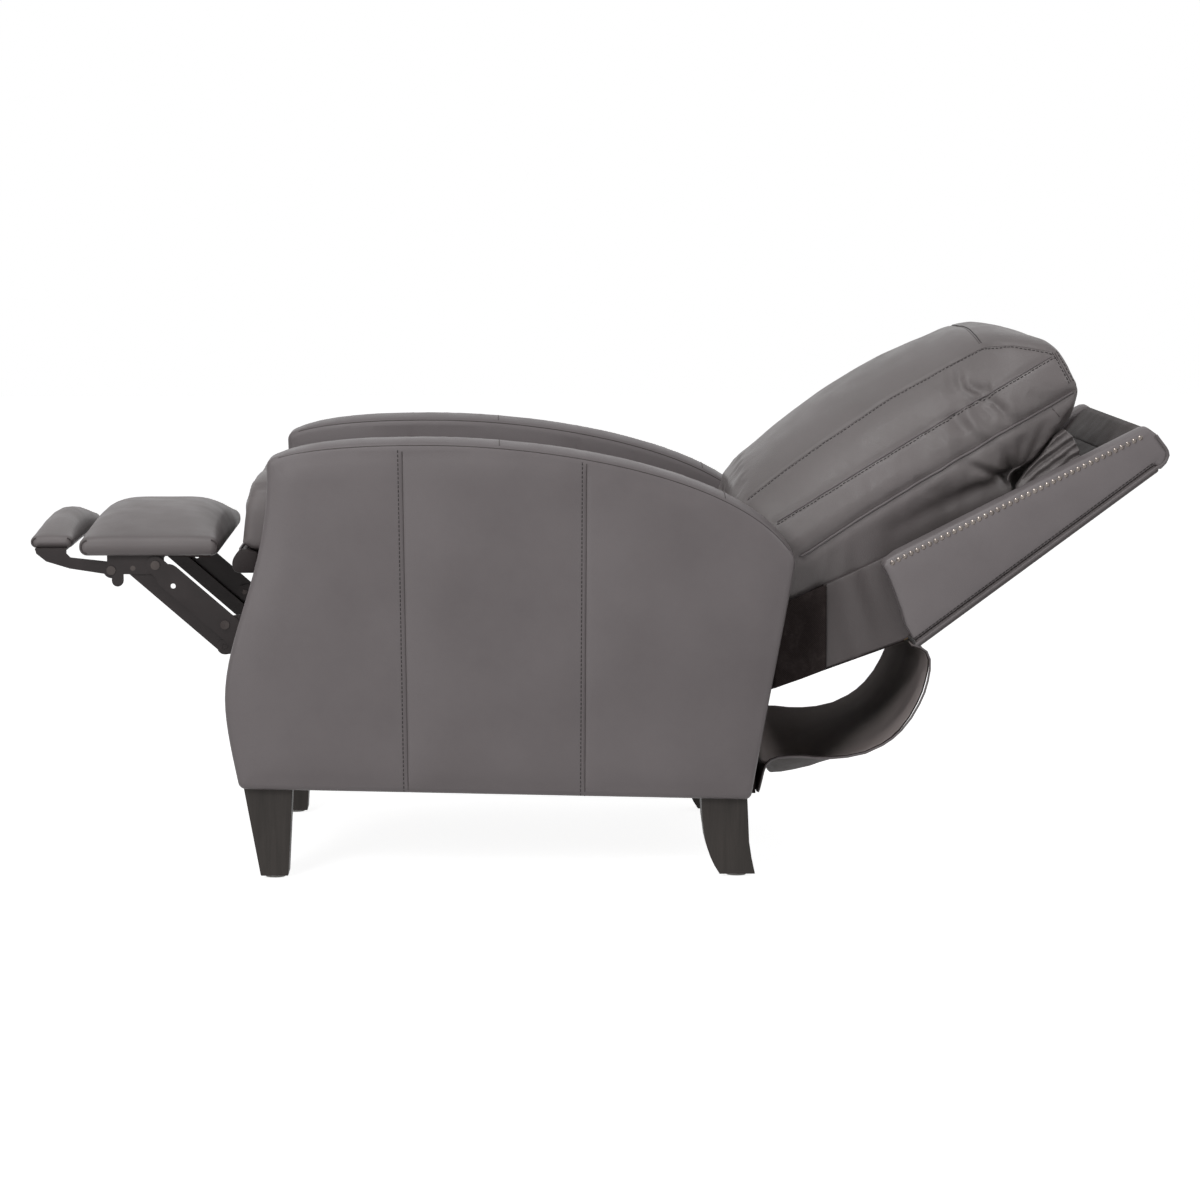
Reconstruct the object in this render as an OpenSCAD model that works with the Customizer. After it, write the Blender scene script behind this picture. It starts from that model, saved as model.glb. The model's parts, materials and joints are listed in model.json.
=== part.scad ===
// High leg recliner in leather, shown fully reclined with its footrest open.
// X runs across the chair, +Y to its rear and +Z up. The origin lies on the floor under the middle.
// Side outlines are drawn as [y, z] pairs and extruded across the chair.

/* [Chair] */
// Width over both arms
chair_w = 770; // [764:1:800]
// Thickness of one arm
arm_t = 100; // [96:1:102]
// Length of an arm, front bulge to rear corner
arm_len = 863; // [855:1:880]
// Height of the arm's top edge
arm_h = 662; // [655:1:680]
// Rise of the padded arm top above its seam
arm_crown = 9; // [4:1:14]
// Thickness of the arm's padded leather cover
cover_t = 4; // [3:1:6]
// Height of the base's lower edge at the front
base_front_z = 141; // [136:1:146]
// Height of the base's lower edge at the rear
base_rear_z = 122; // [118:1:126]

/* [Legs] */
// Depth of a front leg at its top
front_leg_top = 74; // [66:1:80]
// Depth of a front leg at its foot
front_leg_foot = 42; // [36:1:50]
// Width of a leg across the chair
leg_w = 60; // [50:1:66]
// Depth of a rear leg at its top
rear_leg_top = 70; // [64:1:76]
// Depth of a rear leg at its foot
rear_leg_foot = 54; // [48:1:60]
// Rearward sweep of the rear leg's foot
rear_leg_sweep = 28; // [20:1:34]
// Radius of a floor glide
glide_r = 15; // [12:1:18]
// Thickness of a floor glide
glide_t = 5; // [4:1:7]
// Radius of a leg bolt
leg_bolt_r = 4; // [3:1:5]
// Length of a leg bolt in the leg and in the frame, each
leg_bolt_grip = 30; // [25:1:36]

/* [Back] */
// Height of the back's hinge above the floor
hinge_z = 290; // [286:1:294]
// Slope of the inside back when fully reclined
inside_slope = 26.7; // [26:0.1:27.4]
// Slope of the outside back when fully reclined
outside_slope = 36.4; // [36:0.1:36.8]
// How far a wing stands in from the arm's outer face
back_inset = 40; // [36:1:46]
// Thickness of a wing
wing_t = 52; // [48:1:54]
// Thickness of the padded outside back
outside_t = 12; // [9:1:14]
// Thickness of the padded inside back
inside_t = 10; // [8:1:12]
// Thickness of a back post
post_t = 22; // [18:1:26]
// Width of one elastic strap
strap_w = 50; // [40:1:56]
// Number of elastic straps in the back
strap_n = 6; // [4:1:7]
// Radius of a decorative nail's head
nail_r = 4; // [3:0.5:4.5]
// Spacing of the decorative nails
nail_pitch = 10.5; // [10:0.5:14]

/* [Back cushion] */
// Side gap between the back cushion's welt and an arm
pillow_gap = 7; // [6:0.5:14]
// Height of the back cushion's crown above its welt
pillow_crown = 177; // [160:1:185]
// Length of the back cushion
pillow_len = 566; // [555:1:575]
// Slope of the back cushion
pillow_slope = 31.5; // [31:0.1:32]

/* [Seat] */
// Slope of the seat when fully reclined
seat_slope = 11; // [10.6:0.1:11.4]
// Side gap between the seat cushion and an arm
seat_gap = 6; // [5:0.5:12]
// Length of the seat cushion
seat_len = 650; // [630:1:655]
// Thickness of the seat cushion at its middle
seat_cushion_t = 118; // [105:1:122]
// Thickness of a seat rail
rail_t = 20; // [16:1:22]
// Depth of a seat rail
rail_h = 44; // [38:1:46]
// Diameter of the seat's spring wire
wire_d = 3.6; // [3:0.1:4]
// Number of springs across the seat
spring_n = 5; // [3:1:6]

/* [Mechanism] */
// Thickness of a mechanism plate or link
plate_t = 4; // [3:0.5:4]
// Side gap between two links
plate_gap = 1; // [0.8:0.1:1.5]
// Radius of a pivot rivet
rivet_r = 4; // [3:0.5:5]
// Running clearance of a pivot, on the radius
pivot_clear = 0.06; // [0.03:0.01:0.1]
// Length of the four swing links that carry the seat
swing_len = 60; // [58:0.5:62]
// Length of the footrest's rear and guide links, pivot to pivot
rear_link_len = 176; // [172:1:178]
// Length of the footrest's front links, pivot to pivot
front_link_len = 185; // [180:1:188]
// Width of the footrest's front link
front_link_w = 38; // [32:1:40]
// Width of the slimmer links
link_w = 24; // [20:1:25]
// Radius of the tube that joins the two sides
tube_r = 9; // [7:1:11]

/* [Footrest] */
// Side gap between the main footrest pad and an arm
pad_gap = 5; // [4:0.5:14]
// Depth of the main footrest pad
pad_d = 214; // [206:1:218]
// Thickness of the main pad at its edge
pad_edge = 24; // [20:1:26]
// Crown of the main pad above its edge
pad_crown = 34; // [26:1:36]
// How far a side of the small footrest pad stands in from the main pad's
flip_inset = 47.5; // [45:0.5:54]
// Depth of the small footrest pad
flip_d = 66; // [60:1:68]
// Thickness of the small pad at its edge
flip_edge = 22; // [18:1:24]
// Crown of the small pad above its edge
flip_crown = 20; // [14:1:24]
// Thickness of the boards under the pads
board_t = 9; // [6:1:10]

/* [Rear flap] */
// How far a side of the leather flap stands in from a wing's outer face
flap_inset = 45; // [40:1:54]
// Thickness of the flap's leather
flap_t = 2; // [1.5:0.1:2.5]

/* [Hidden] */
$fn = 48;

// Colours as the photograph shows them
leather = [0.43, 0.40, 0.40];
dark_leather = [0.36, 0.33, 0.33];
suede = [0.30, 0.27, 0.26];
fabric = [0.12, 0.10, 0.10];
dark_wood = [0.24, 0.22, 0.20];
pale_wood = [0.72, 0.60, 0.44];
steel = [0.20, 0.18, 0.18];
rivet_steel = [0.45, 0.43, 0.42];
bright_steel = [0.75, 0.75, 0.76];
nylon = [0.80, 0.79, 0.77];
webbing = [0.20, 0.20, 0.22];

// Soft pieces keep this much air to what they rest on
air = 0.3;
// A cut runs past the face that it opens
cut = 1;

// Across the chair: the arm's faces, and the layers of the mechanism from the arm inwards
arm_out_x = chair_w / 2;
arm_in_x = arm_out_x - arm_t;
seat_w = 2 * (arm_in_x - seat_gap);
pillow_w = 2 * (arm_in_x - pillow_gap);
back_w = 2 * (arm_out_x - back_inset);
pad_w = 2 * (arm_in_x - pad_gap);
flip_w = pad_w - 2 * flip_inset;
flap_w = back_w - 2 * flap_inset;
layer = plate_t + plate_gap;
layer1_inset = 29;
layer1_x = arm_in_x - layer1_inset;
layer2_x = layer1_x - layer;
layer3_x = layer2_x - layer;
layer4_x = layer3_x - layer;

// Fixed points in the side view
hinge = [243, hinge_z];
arm_rear_y = hinge.x + 58;
arm_front_y = arm_rear_y - arm_len;
base_front = [arm_front_y + 21, base_front_z];
base_rear = [arm_rear_y - 68, base_rear_z];

// Point helpers
function dir(a) = [cos(a), sin(a)];
function turn(v, a) = [v.x * cos(a) - v.y * sin(a), v.x * sin(a) + v.y * cos(a)];
function unit(v) = v / norm(v);
function left_of(v) = [-v.y, v.x];
function lerp(a, b, t) = a + (b - a) * t;

// A cubic curve from a to d, without its last point
function curve(a, b, c, d, n) = [
  for (i = [0:n - 1])
    let (t = i / n, s = 1 - t)
      a * s * s * s + b * 3 * s * s * t + c * 3 * s * t * t + d * t * t * t
];

// A closed outline, given anticlockwise, moved inwards by a distance
function inset(pts, d) = [
  for (i = [0:len(pts) - 1])
    let (
      n = len(pts),
      a = pts[(i + n - 1) % n],
      b = pts[i],
      c = pts[(i + 1) % n],
      m = left_of(unit(b - a)),
      k = left_of(unit(c - b))
    )
      b + (m + k) * d / (1 + m * k)
];

// An open path moved sideways to its left
function beside(pts, d) = [
  for (i = [0:len(pts) - 1])
    let (a = pts[max(i - 1, 0)], c = pts[min(i + 1, len(pts) - 1)])
      pts[i] + left_of(unit(c - a)) * d
];
function reversed(pts) = [for (i = [len(pts) - 1:-1:0]) pts[i]];

// The base's lower edge runs straight from front to rear
base_slope = (base_rear.y - base_front.y) / (base_rear.x - base_front.x);
function base_z(y) = base_front.y + (y - base_front.x) * base_slope;

// The arm's side outline, anticlockwise from its lower front corner
crown_pt = [arm_front_y + 309, arm_h];
arm_rear_top = [arm_rear_y - 1, arm_h - 174];
arm_front_top = [arm_front_y + 65, arm_h - 24];
bulge = [arm_front_y, base_front_z + 136];
arm_top_curve = concat(
  curve(arm_rear_top, arm_rear_top + [-75, 132], crown_pt + [163, 0], crown_pt, 15),
  curve(crown_pt, crown_pt + [-87, 1], arm_front_top + [47, 20], arm_front_top, 8),
  [arm_front_top]
);
arm_outline = concat(
  [base_front],
  curve(base_rear, base_rear + [22, 128], arm_rear_top + [-18, -108], arm_rear_top, 8),
  arm_top_curve,
  curve(arm_front_top + [1, -28], arm_front_top + [0, -168], bulge + [0, 98], bulge, 12),
  curve(bulge, bulge + [0, -42], base_front + [-9, 44], base_front, 6)
);

// The mechanism's pivots: the seat swings on the base, the back turns on the base
swing_base_z = 235;
front_swing_base = [-225, swing_base_z];
rear_swing_base = [60, swing_base_z];
front_swing_lean = 4.1;
rear_swing_lean = 28.8;
front_swing_top = front_swing_base + swing_len * dir(90 + front_swing_lean);
rear_swing_top = rear_swing_base + swing_len * dir(90 + rear_swing_lean);
drive_on_back = hinge + [0, -68];
drive_on_seat = [113, 250];

// The footrest's linkage: two chained parallelograms, so the pad turns with its rear links
pad_rear = [-575, 491];
pad_front_y = pad_rear.x - pad_d;
front_link_dir = 139;
rear_link_dir = 188;
bracket_arm = 35;
guide_step = 45;
pad_pivot = pad_rear + [-99, -21];
mid_pivot = pad_pivot - front_link_len * dir(front_link_dir);
seat_pivot = mid_pivot - rear_link_len * dir(rear_link_dir);
ear_pivot = pad_pivot + bracket_arm * dir(rear_link_dir);
low_pivot = mid_pivot + bracket_arm * dir(rear_link_dir);
guide_pivot = mid_pivot + guide_step * dir(front_link_dir);
guide_seat_pivot = seat_pivot + guide_step * dir(front_link_dir);
tube_pt = seat_pivot + 110 * dir(rear_link_dir);
flip_pivot = pad_pivot + [-68, -8];
flip_gap = 13;
flip_rear_y = pad_front_y - flip_gap;
flip_mid_y = flip_rear_y - flip_d / 2;
flip_under_z = pad_rear.y + 4;

// Extrudes a side outline across the chair, from x over t
module side(x, t) {
  translate([x, 0, 0])
    rotate([90, 0, 90])
      linear_extrude(height = t)
        children();
}

// The same piece on the left and on the right
module pair() {
  children();
  mirror([1, 0, 0])
    children();
}

// A flat bar with round ends, in the side view
bar_steps = 10;
module bar(p, q, w) {
  a = atan2(q.y - p.y, q.x - p.x);
  polygon(concat(
    [for (i = [0:bar_steps]) q + w / 2 * dir(a - 90 + 180 * i / bar_steps)],
    [for (i = [0:bar_steps]) p + w / 2 * dir(a + 90 + 180 * i / bar_steps)]
  ));
}

module disc(p, r) {
  translate(p)
    circle(r = r);
}

// A pivot's running hole, and the tight hole that grips the rivet
module running_hole(p) {
  disc(p, rivet_r + pivot_clear);
}

module tight_hole(p) {
  disc(p, rivet_r);
}

// A rivet on the left side, from x outwards over a length, with a head of a given height
rivet_head_r = 7;
rivet_head_t = 2;
module rivet(p, x, length, head) {
  side(x, length)
    disc(p, rivet_r);
  if (head > 0)
    side(x + length, head)
      disc(p, rivet_head_r);
}

// A solid through rings of equal length, each an upper and a lower chain of [y, z] points at one x
module lofted(xs, rings) {
  n = len(rings[0]);
  half = n / 2;
  last = len(xs) - 1;
  pts = [for (i = [0:last]) for (p = rings[i]) [xs[i], p.x, p.y]];
  skin = [
    for (i = [0:last - 1])
      for (j = [0:n - 1])
        let (a = i * n + j, b = i * n + (j + 1) % n, c = b + n, d = a + n)
          each [[a, b, c], [a, c, d]]
  ];
  first_cap = [
    for (j = [0:half - 2])
      each [[j, n - 1 - j, n - 2 - j], [j, n - 2 - j, j + 1]]
  ];
  last_cap = [for (f = first_cap) [f[2] + last * n, f[1] + last * n, f[0] + last * n]];
  polyhedron(points = pts, faces = concat(skin, first_cap, last_cap), convexity = 6);
}

// Stations across a soft form: closer together near its two ends
function stations(half_w, n) = [for (i = [-n:n]) half_w * sin(90 * i / n)];

// How full a soft form is at a share s of its half width: 1 in the middle, falling at its end
function fullness(s, p) = pow(1 - pow(min(abs(s), 0.992), p), 1 / p);

// The back's two slopes: points on the inside back's face and on the outside back's face
inside_pt = [440, 462];
outside_pt = [491, 350];
inside_dir = dir(inside_slope);
outside_dir = dir(outside_slope);
function on_inside(s, d) = inside_pt + s * inside_dir - d * left_of(inside_dir);
function on_outside(s, d) = outside_pt + s * outside_dir + d * left_of(outside_dir);
inside_low = -202;
inside_high = 394;
outside_high = 452;
strap_t = 2;
post_low = -204;
post_high = 390;
frame_high = 398;
lower_half_w = layer2_x;
side_skin_t = 4;
post_x = lower_half_w - side_skin_t - post_t;
wing_in_x = back_w / 2 - wing_t;
fabric_t = 1.5;
low_front = [244, 266];
low_rear = [483, 352];
low_slope = (low_rear.y - low_front.y) / (low_rear.x - low_front.x);
function low_z(y) = low_front.y + (y - low_front.x) * low_slope;
leather_start_y = 352;
back_bolt_spots = [[290, 330], [342, 348]];

// Bolts that hold a bracket to its post, through the back's side skin
module back_bolt(spot, x, length) {
  side(x, length)
    disc(spot, rivet_r);
}

// The base
arm_frame_panel_t = 12;
leg_bolt_spots = [
  [arm_front_y + 62, base_z(arm_front_y + 62)],
  [arm_rear_y - 106, base_z(arm_rear_y - 106)]
];
arm_bolt_spots = [[-200, 235], [-20, 235], [150, 235]];
leg_mid_x = arm_out_x - 25 - leg_w / 2;

module leg_bolt(spot) {
  translate([leg_mid_x, spot.x, spot.y - leg_bolt_grip])
    cylinder(r = leg_bolt_r, h = 2 * leg_bolt_grip);
}

module arm_bolt(spot, x, length) {
  side(x, length)
    disc(spot, rivet_r);
}

module arm_cover() {
  color(leather)
    difference() {
      side(arm_in_x, arm_t)
        polygon(arm_outline);
      side(arm_in_x + cover_t, arm_t - 2 * cover_t)
        polygon(inset(arm_outline, cover_t));
      for (spot = leg_bolt_spots)
        leg_bolt(spot);
      for (spot = arm_bolt_spots)
        arm_bolt(spot, arm_in_x - cut, cover_t + 2 * cut);
    }
}

module left_arm_cover() {
  arm_cover();
}

module right_arm_cover() {
  mirror([1, 0, 0])
    arm_cover();
}

module arm_top() {
  xs = [for (x = stations(arm_t / 2, 4)) x + arm_in_x + arm_t / 2];
  base = arm_top_curve;
  n = len(base);
  rings = [
    for (x = xs)
      let (across = fullness((x - arm_in_x - arm_t / 2) / (arm_t / 2), 2.4))
        concat(
          [
            for (i = [0:n - 1])
              let (along = fullness(2 * i / (n - 1) - 1, 8))
                beside(base, -arm_crown * across * along)[i]
          ],
          reversed(base)
        )
  ];
  color(leather)
    lofted(xs, rings);
}

module left_arm_top() {
  arm_top();
}

module right_arm_top() {
  mirror([1, 0, 0])
    arm_top();
}

frame_pockets = [[-478, 180, 216, 435], [-230, 180, 230, 432], [30, 180, 183, 345]];
module arm_frame() {
  x = arm_in_x + cover_t;
  color(pale_wood)
    difference() {
      side(x, arm_t - 2 * cover_t)
        polygon(inset(arm_outline, cover_t));
      for (p = frame_pockets)
        side(x + arm_frame_panel_t, arm_t)
          translate([p[0], p[1]])
            square([p[2], p[3]]);
      for (spot = leg_bolt_spots)
        leg_bolt(spot);
      for (spot = arm_bolt_spots)
        arm_bolt(spot, x - cut, arm_frame_panel_t + cut);
    }
}

module left_arm_frame() {
  arm_frame();
}

module right_arm_frame() {
  mirror([1, 0, 0])
    arm_frame();
}

side_rail_y = [-250, 236];
side_rail_z = [205, 262];
module base_side_rails() {
  x = layer1_x + plate_t;
  color(pale_wood)
    pair()
      difference() {
        side(x, arm_in_x - x)
          translate([side_rail_y[0], side_rail_z[0]])
            square([side_rail_y[1] - side_rail_y[0], side_rail_z[1] - side_rail_z[0]]);
        for (spot = arm_bolt_spots)
          arm_bolt(spot, x - cut, arm_t);
      }
}

cross_rail_t = 22;
base_front_rail_y = -235;
base_front_rail_z = [145, 195];
module base_front_rail() {
  color(pale_wood)
    translate([-arm_in_x, base_front_rail_y, base_front_rail_z[0]])
      cube([2 * arm_in_x, cross_rail_t, base_front_rail_z[1] - base_front_rail_z[0]]);
}

base_rear_rail_inset = 55;
base_rear_rail_z = [118, 185];
rear_rail_y = arm_rear_y - base_rear_rail_inset - cross_rail_t;
module base_rear_rail() {
  color(pale_wood)
    translate([-arm_in_x, rear_rail_y, base_rear_rail_z[0]])
      cube([2 * arm_in_x, cross_rail_t, base_rear_rail_z[1] - base_rear_rail_z[0]]);
}

module base_plate() {
  color(steel)
    side(layer1_x, plate_t)
      difference() {
        union() {
          bar([-233, swing_base_z], [205, swing_base_z], 44);
          bar([205, swing_base_z], hinge, 40);
        }
        tight_hole(front_swing_base);
        tight_hole(rear_swing_base);
        tight_hole(hinge);
        for (spot = arm_bolt_spots)
          tight_hole(spot);
      }
}

module left_base_plate() {
  base_plate();
}

module right_base_plate() {
  mirror([1, 0, 0])
    base_plate();
}

module base_rivets() {
  color(rivet_steel)
    pair() {
      for (p = [front_swing_base, rear_swing_base, hinge])
        rivet(p, layer2_x, layer + plate_t, 0);
      for (spot = arm_bolt_spots)
        arm_bolt(spot, layer1_x, arm_in_x + cover_t + arm_frame_panel_t - layer1_x);
    }
}

module leg_bolts() {
  color(bright_steel)
    pair()
      for (spot = leg_bolt_spots)
        leg_bolt(spot);
}

front_leg_y = arm_front_y + 26;
module front_leg() {
  foot_y = front_leg_y + 25;
  color(dark_wood)
    difference() {
      side(leg_mid_x - leg_w / 2, leg_w)
        polygon([
          [foot_y, glide_t],
          [foot_y + front_leg_foot, glide_t],
          [front_leg_y + front_leg_top, base_z(front_leg_y + front_leg_top)],
          [front_leg_y, base_z(front_leg_y)]
        ]);
      leg_bolt(leg_bolt_spots[0]);
    }
}

module left_front_leg() {
  front_leg();
}

module right_front_leg() {
  mirror([1, 0, 0])
    front_leg();
}

rear_leg_y = arm_rear_y - 142;
rear_foot_y = rear_leg_y + rear_leg_sweep;
rear_leg_front = curve(
  [rear_leg_y, base_z(rear_leg_y)],
  [rear_leg_y, base_z(rear_leg_y) - 45],
  [rear_leg_y + 5, glide_t + 32],
  [rear_foot_y, glide_t],
  8
);
rear_leg_rear = curve(
  [rear_foot_y + rear_leg_foot, glide_t],
  [rear_foot_y + rear_leg_foot - 8, glide_t + 35],
  [rear_leg_y + rear_leg_top, base_rear_z - 60],
  [rear_leg_y + rear_leg_top, base_z(rear_leg_y + rear_leg_top)],
  8
);
module rear_leg() {
  color(dark_wood)
    difference() {
      side(leg_mid_x - leg_w / 2, leg_w)
        polygon(concat(
          rear_leg_front,
          [[rear_foot_y, glide_t]],
          rear_leg_rear,
          [[rear_leg_y + rear_leg_top, base_z(rear_leg_y + rear_leg_top)]]
        ));
      leg_bolt(leg_bolt_spots[1]);
    }
}

module left_rear_leg() {
  rear_leg();
}

module right_rear_leg() {
  mirror([1, 0, 0])
    rear_leg();
}

glide_ys = [front_leg_y + 25 + front_leg_foot / 2, rear_foot_y + rear_leg_foot / 2];
module glides() {
  color(nylon)
    pair()
      for (y = glide_ys)
        translate([leg_mid_x, y, 0])
          cylinder(r = glide_r, h = glide_t);
}

flap_gap = 0.3;
flap_foot = [rear_rail_y + cross_rail_t + flap_t / 2, 122];
flap_low = [340, 172];
flap_back = [513, 326];
flap_turn = 6;
flap_head = on_outside(-flap_turn, -flap_turn);
flap_path = concat(
  curve(on_outside(-flap_t / 2 - flap_gap, 9), flap_head, flap_back + [-4, 16], flap_back, 8),
  curve(flap_back, flap_back + [0, -71], flap_low + [110, -4], flap_low, 14),
  curve(flap_low, flap_low + [-55, 2], flap_foot + [7, 48], flap_foot + [0, 12], 10),
  [flap_foot + [0, 12], flap_foot]
);
module rear_flap() {
  color(suede)
    side(-flap_w / 2, flap_w)
      polygon(concat(beside(flap_path, flap_t / 2), reversed(beside(flap_path, -flap_t / 2))));
}

// The back
module back_post() {
  color(pale_wood)
    difference() {
      side(post_x, post_t)
        polygon([
          [low_front.x + 2, low_z(low_front.x + 2)],
          [low_rear.x, low_z(low_rear.x)],
          on_outside(0, outside_t),
          on_outside(frame_high, outside_t),
          on_inside(post_high, inside_t + strap_t),
          on_inside(post_low, inside_t + strap_t)
        ]);
      for (spot = back_bolt_spots)
        back_bolt(spot, post_x - cut, post_t + 2 * cut);
    }
}

module left_back_post() {
  back_post();
}

module right_back_post() {
  mirror([1, 0, 0])
    back_post();
}

top_rail_h = 60;
module back_top_rail() {
  color(pale_wood)
    side(-post_x, 2 * post_x)
      polygon([
        on_outside(frame_high - top_rail_h, outside_t),
        on_outside(frame_high, outside_t),
        on_inside(post_high, inside_t + strap_t),
        on_inside(post_high - top_rail_h, inside_t + strap_t)
      ]);
}

bottom_rail_start = low_front.x + 14;
bottom_rail_end = bottom_rail_start + 22;
module back_bottom_rail() {
  color(pale_wood)
    side(-post_x, 2 * post_x)
      polygon([
        [bottom_rail_start, low_z(bottom_rail_start)],
        [bottom_rail_end, low_z(bottom_rail_end)],
        on_inside(post_low + 48, inside_t + strap_t),
        on_inside(post_low + 8, inside_t + strap_t)
      ]);
}

strap_first = post_low + 60;
strap_last = post_high - 90;
module back_straps() {
  half = post_x + post_t;
  color(webbing)
    for (i = [0:strap_n - 1])
      let (s = lerp(strap_first, strap_last, i / (strap_n - 1)))
        side(-half, 2 * half)
          polygon([
            on_inside(s, inside_t + strap_t),
            on_inside(s + strap_w, inside_t + strap_t),
            on_inside(s + strap_w, inside_t),
            on_inside(s, inside_t)
          ]);
}

inside_step = 20;
module inside_back() {
  low_half = lower_half_w - side_skin_t;
  color(leather)
    union() {
      side(-low_half, 2 * low_half)
        polygon([
          on_inside(inside_low, inside_t),
          on_inside(inside_step + cut, inside_t),
          on_inside(inside_step + cut, 0),
          on_inside(inside_low, 0)
        ]);
      side(-wing_in_x, 2 * wing_in_x)
        polygon([
          on_inside(inside_step, inside_t),
          on_inside(inside_high, inside_t),
          on_inside(inside_high, 0),
          on_inside(inside_step, 0)
        ]);
    }
}

module outside_back() {
  color(dark_leather)
    side(-back_w / 2, back_w)
      polygon([
        on_outside(0, 0),
        on_outside(outside_high, 0),
        on_outside(outside_high, outside_t),
        on_outside(0, outside_t)
      ]);
}

// The wing's front edge, its rounded top corner and its lower front edge
wing_low = [440, 482];
wing_top = [829, 678];
wing_corner = [[863, 627], [869, 642], [867, 650], [849, 674], [839, 681]];
wing_front_low = [478, 359];
module wing() {
  color(leather)
    side(wing_in_x, wing_t)
      polygon(concat(
        [on_outside(0, outside_t), on_outside(outside_high, outside_t)],
        [on_outside(outside_high, 0)],
        wing_corner,
        [wing_top, wing_low],
        curve(wing_low - [5, 8], wing_low + [6, -20], wing_front_low + [-12, 46], wing_front_low, 6)
      ));
}

module left_wing() {
  wing();
}

module right_wing() {
  mirror([1, 0, 0])
    wing();
}

cap_gap = 0.4;
module back_top_cap() {
  color(leather)
    side(-wing_in_x, 2 * wing_in_x)
      polygon(concat(
        [on_outside(frame_high + 4, outside_t), on_outside(outside_high, outside_t), on_outside(outside_high, 0)],
        wing_corner,
        [wing_top, on_inside(inside_high + cap_gap, 0), on_inside(inside_high + cap_gap, inside_t + strap_t + 4)]
      ));
}

low_side_top = [[433, 473], [300, 415], [262, 398]];
low_skin_end = low_rear.x - 6;
low_top_run = low_side_top[0].x - low_side_top[1].x;
leather_start_top = lerp(low_side_top[1], low_side_top[0], (leather_start_y - low_side_top[1].x) / low_top_run);
module lower_back_sides() {
  color(leather)
    pair()
      side(lower_half_w - side_skin_t, side_skin_t)
        polygon([
          [leather_start_y, low_z(leather_start_y)],
          [low_skin_end, low_z(low_skin_end)],
          low_side_top[0],
          leather_start_top
        ]);
}

module back_dust_cover() {
  low_half = lower_half_w - side_skin_t;
  color(fabric)
    difference() {
      union() {
        pair()
          side(low_half, side_skin_t)
            polygon([
              [low_front.x, low_z(low_front.x)],
              [leather_start_y, low_z(leather_start_y)],
              leather_start_top,
              low_side_top[1],
              low_side_top[2]
            ]);
        side(-lower_half_w, 2 * lower_half_w)
          polygon([
            [low_front.x, low_z(low_front.x) - fabric_t],
            [low_skin_end, low_z(low_skin_end) - fabric_t],
            [low_skin_end, low_z(low_skin_end)],
            [low_front.x, low_z(low_front.x)]
          ]);
      }
      pair()
        for (spot = back_bolt_spots)
          back_bolt(spot, low_half - cut, side_skin_t + 2 * cut);
    }
}

module back_brackets() {
  color(steel)
    pair()
      side(layer2_x, plate_t)
        difference() {
          union() {
            bar(drive_on_back, hinge, 30);
            bar(hinge, back_bolt_spots[0], 34);
            bar(back_bolt_spots[0], back_bolt_spots[1], 34);
          }
          running_hole(hinge);
          tight_hole(drive_on_back);
          for (p = back_bolt_spots)
            tight_hole(p);
        }
}

module back_rivets() {
  color(rivet_steel)
    pair() {
      rivet(drive_on_back, layer4_x, 2 * layer + plate_t, 0);
      for (spot = back_bolt_spots)
        back_bolt(spot, post_x, layer2_x + plate_t - post_x);
    }
}

nail_inset = 7;
nail_h = 1.8;
module nailheads() {
  run = norm(wing_top - wing_low) - 2 * nail_inset;
  count = floor(run / nail_pitch);
  along = unit(wing_top - wing_low);
  color(bright_steel)
    pair()
      for (i = [0:count])
        let (p = wing_low + (nail_inset + i * nail_pitch) * along - nail_inset * left_of(along))
          translate([back_w / 2, p.x, p.y])
            rotate([0, 90, 0])
              cylinder(r1 = nail_r, r2 = nail_r / 2, h = nail_h, $fn = 16);
}

// The back cushion: u runs up its length and v stands on its welt plane
pillow_origin = inside_pt + [-123, 20.5];
pillow_high_u = 526;
pillow_low_u = pillow_high_u - pillow_len;
pillow_full_u = 205;
function pillow_pt(u, v) = pillow_origin + turn([u, v], pillow_slope);
function pillow_top(u) =
  u > pillow_full_u
    ? pillow_crown * fullness((u - pillow_full_u) / (pillow_high_u - pillow_full_u), 2.5)
    : pillow_crown * fullness((u - pillow_full_u) / (pillow_low_u - pillow_full_u), 4.2);
// The inside back, seen from the cushion's own axes
rest_local = turn(on_inside(0, 0) - pillow_origin, -pillow_slope);
function rest_v(u) = rest_local.y + (u - rest_local.x) * tan(inside_slope - pillow_slope);
pillow_lift_u = 330;
function pillow_bottom(u, rest) =
  let (
    t = max(0, (u - pillow_lift_u) / (pillow_high_u - pillow_lift_u)),
    low = min(1, (u - pillow_low_u) / 60)
  )
    rest * sqrt(1 - t * t * 0.86) * pow(low, 0.25);
pillow_n = 22;
module back_cushion() {
  xs = stations(pillow_w / 2, 11);
  us = [for (i = [0:pillow_n]) lerp(pillow_low_u + 2, pillow_high_u - 1, (1 - cos(180 * i / pillow_n)) / 2)];
  lean = 0.36;
  rings = [
    for (x = xs)
      let (
        s = 2 * x / pillow_w,
        up = fullness(s, 2),
        down = fullness(s, 4),
        shrink = 1 - 0.05 * pow(abs(s), 4)
      )
        [
          for (k = [0:2 * pillow_n + 1])
            let (
              over = k <= pillow_n,
              i = over ? k : 2 * pillow_n + 1 - k,
              u = pillow_full_u + (us[i] - pillow_full_u) * shrink,
              depth = over ? pillow_top(us[i]) * up + 4 : rest_v(u),
              near_end = max(0, 1 - i / (pillow_n * 0.7)),
              slid = u + lean * (pillow_crown - depth) * near_end
            )
              pillow_pt(slid, over ? depth : pillow_bottom(us[i], rest_v(slid) + air) * down)
        ]
  ];
  color(leather)
    lofted(xs, rings);
}

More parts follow.
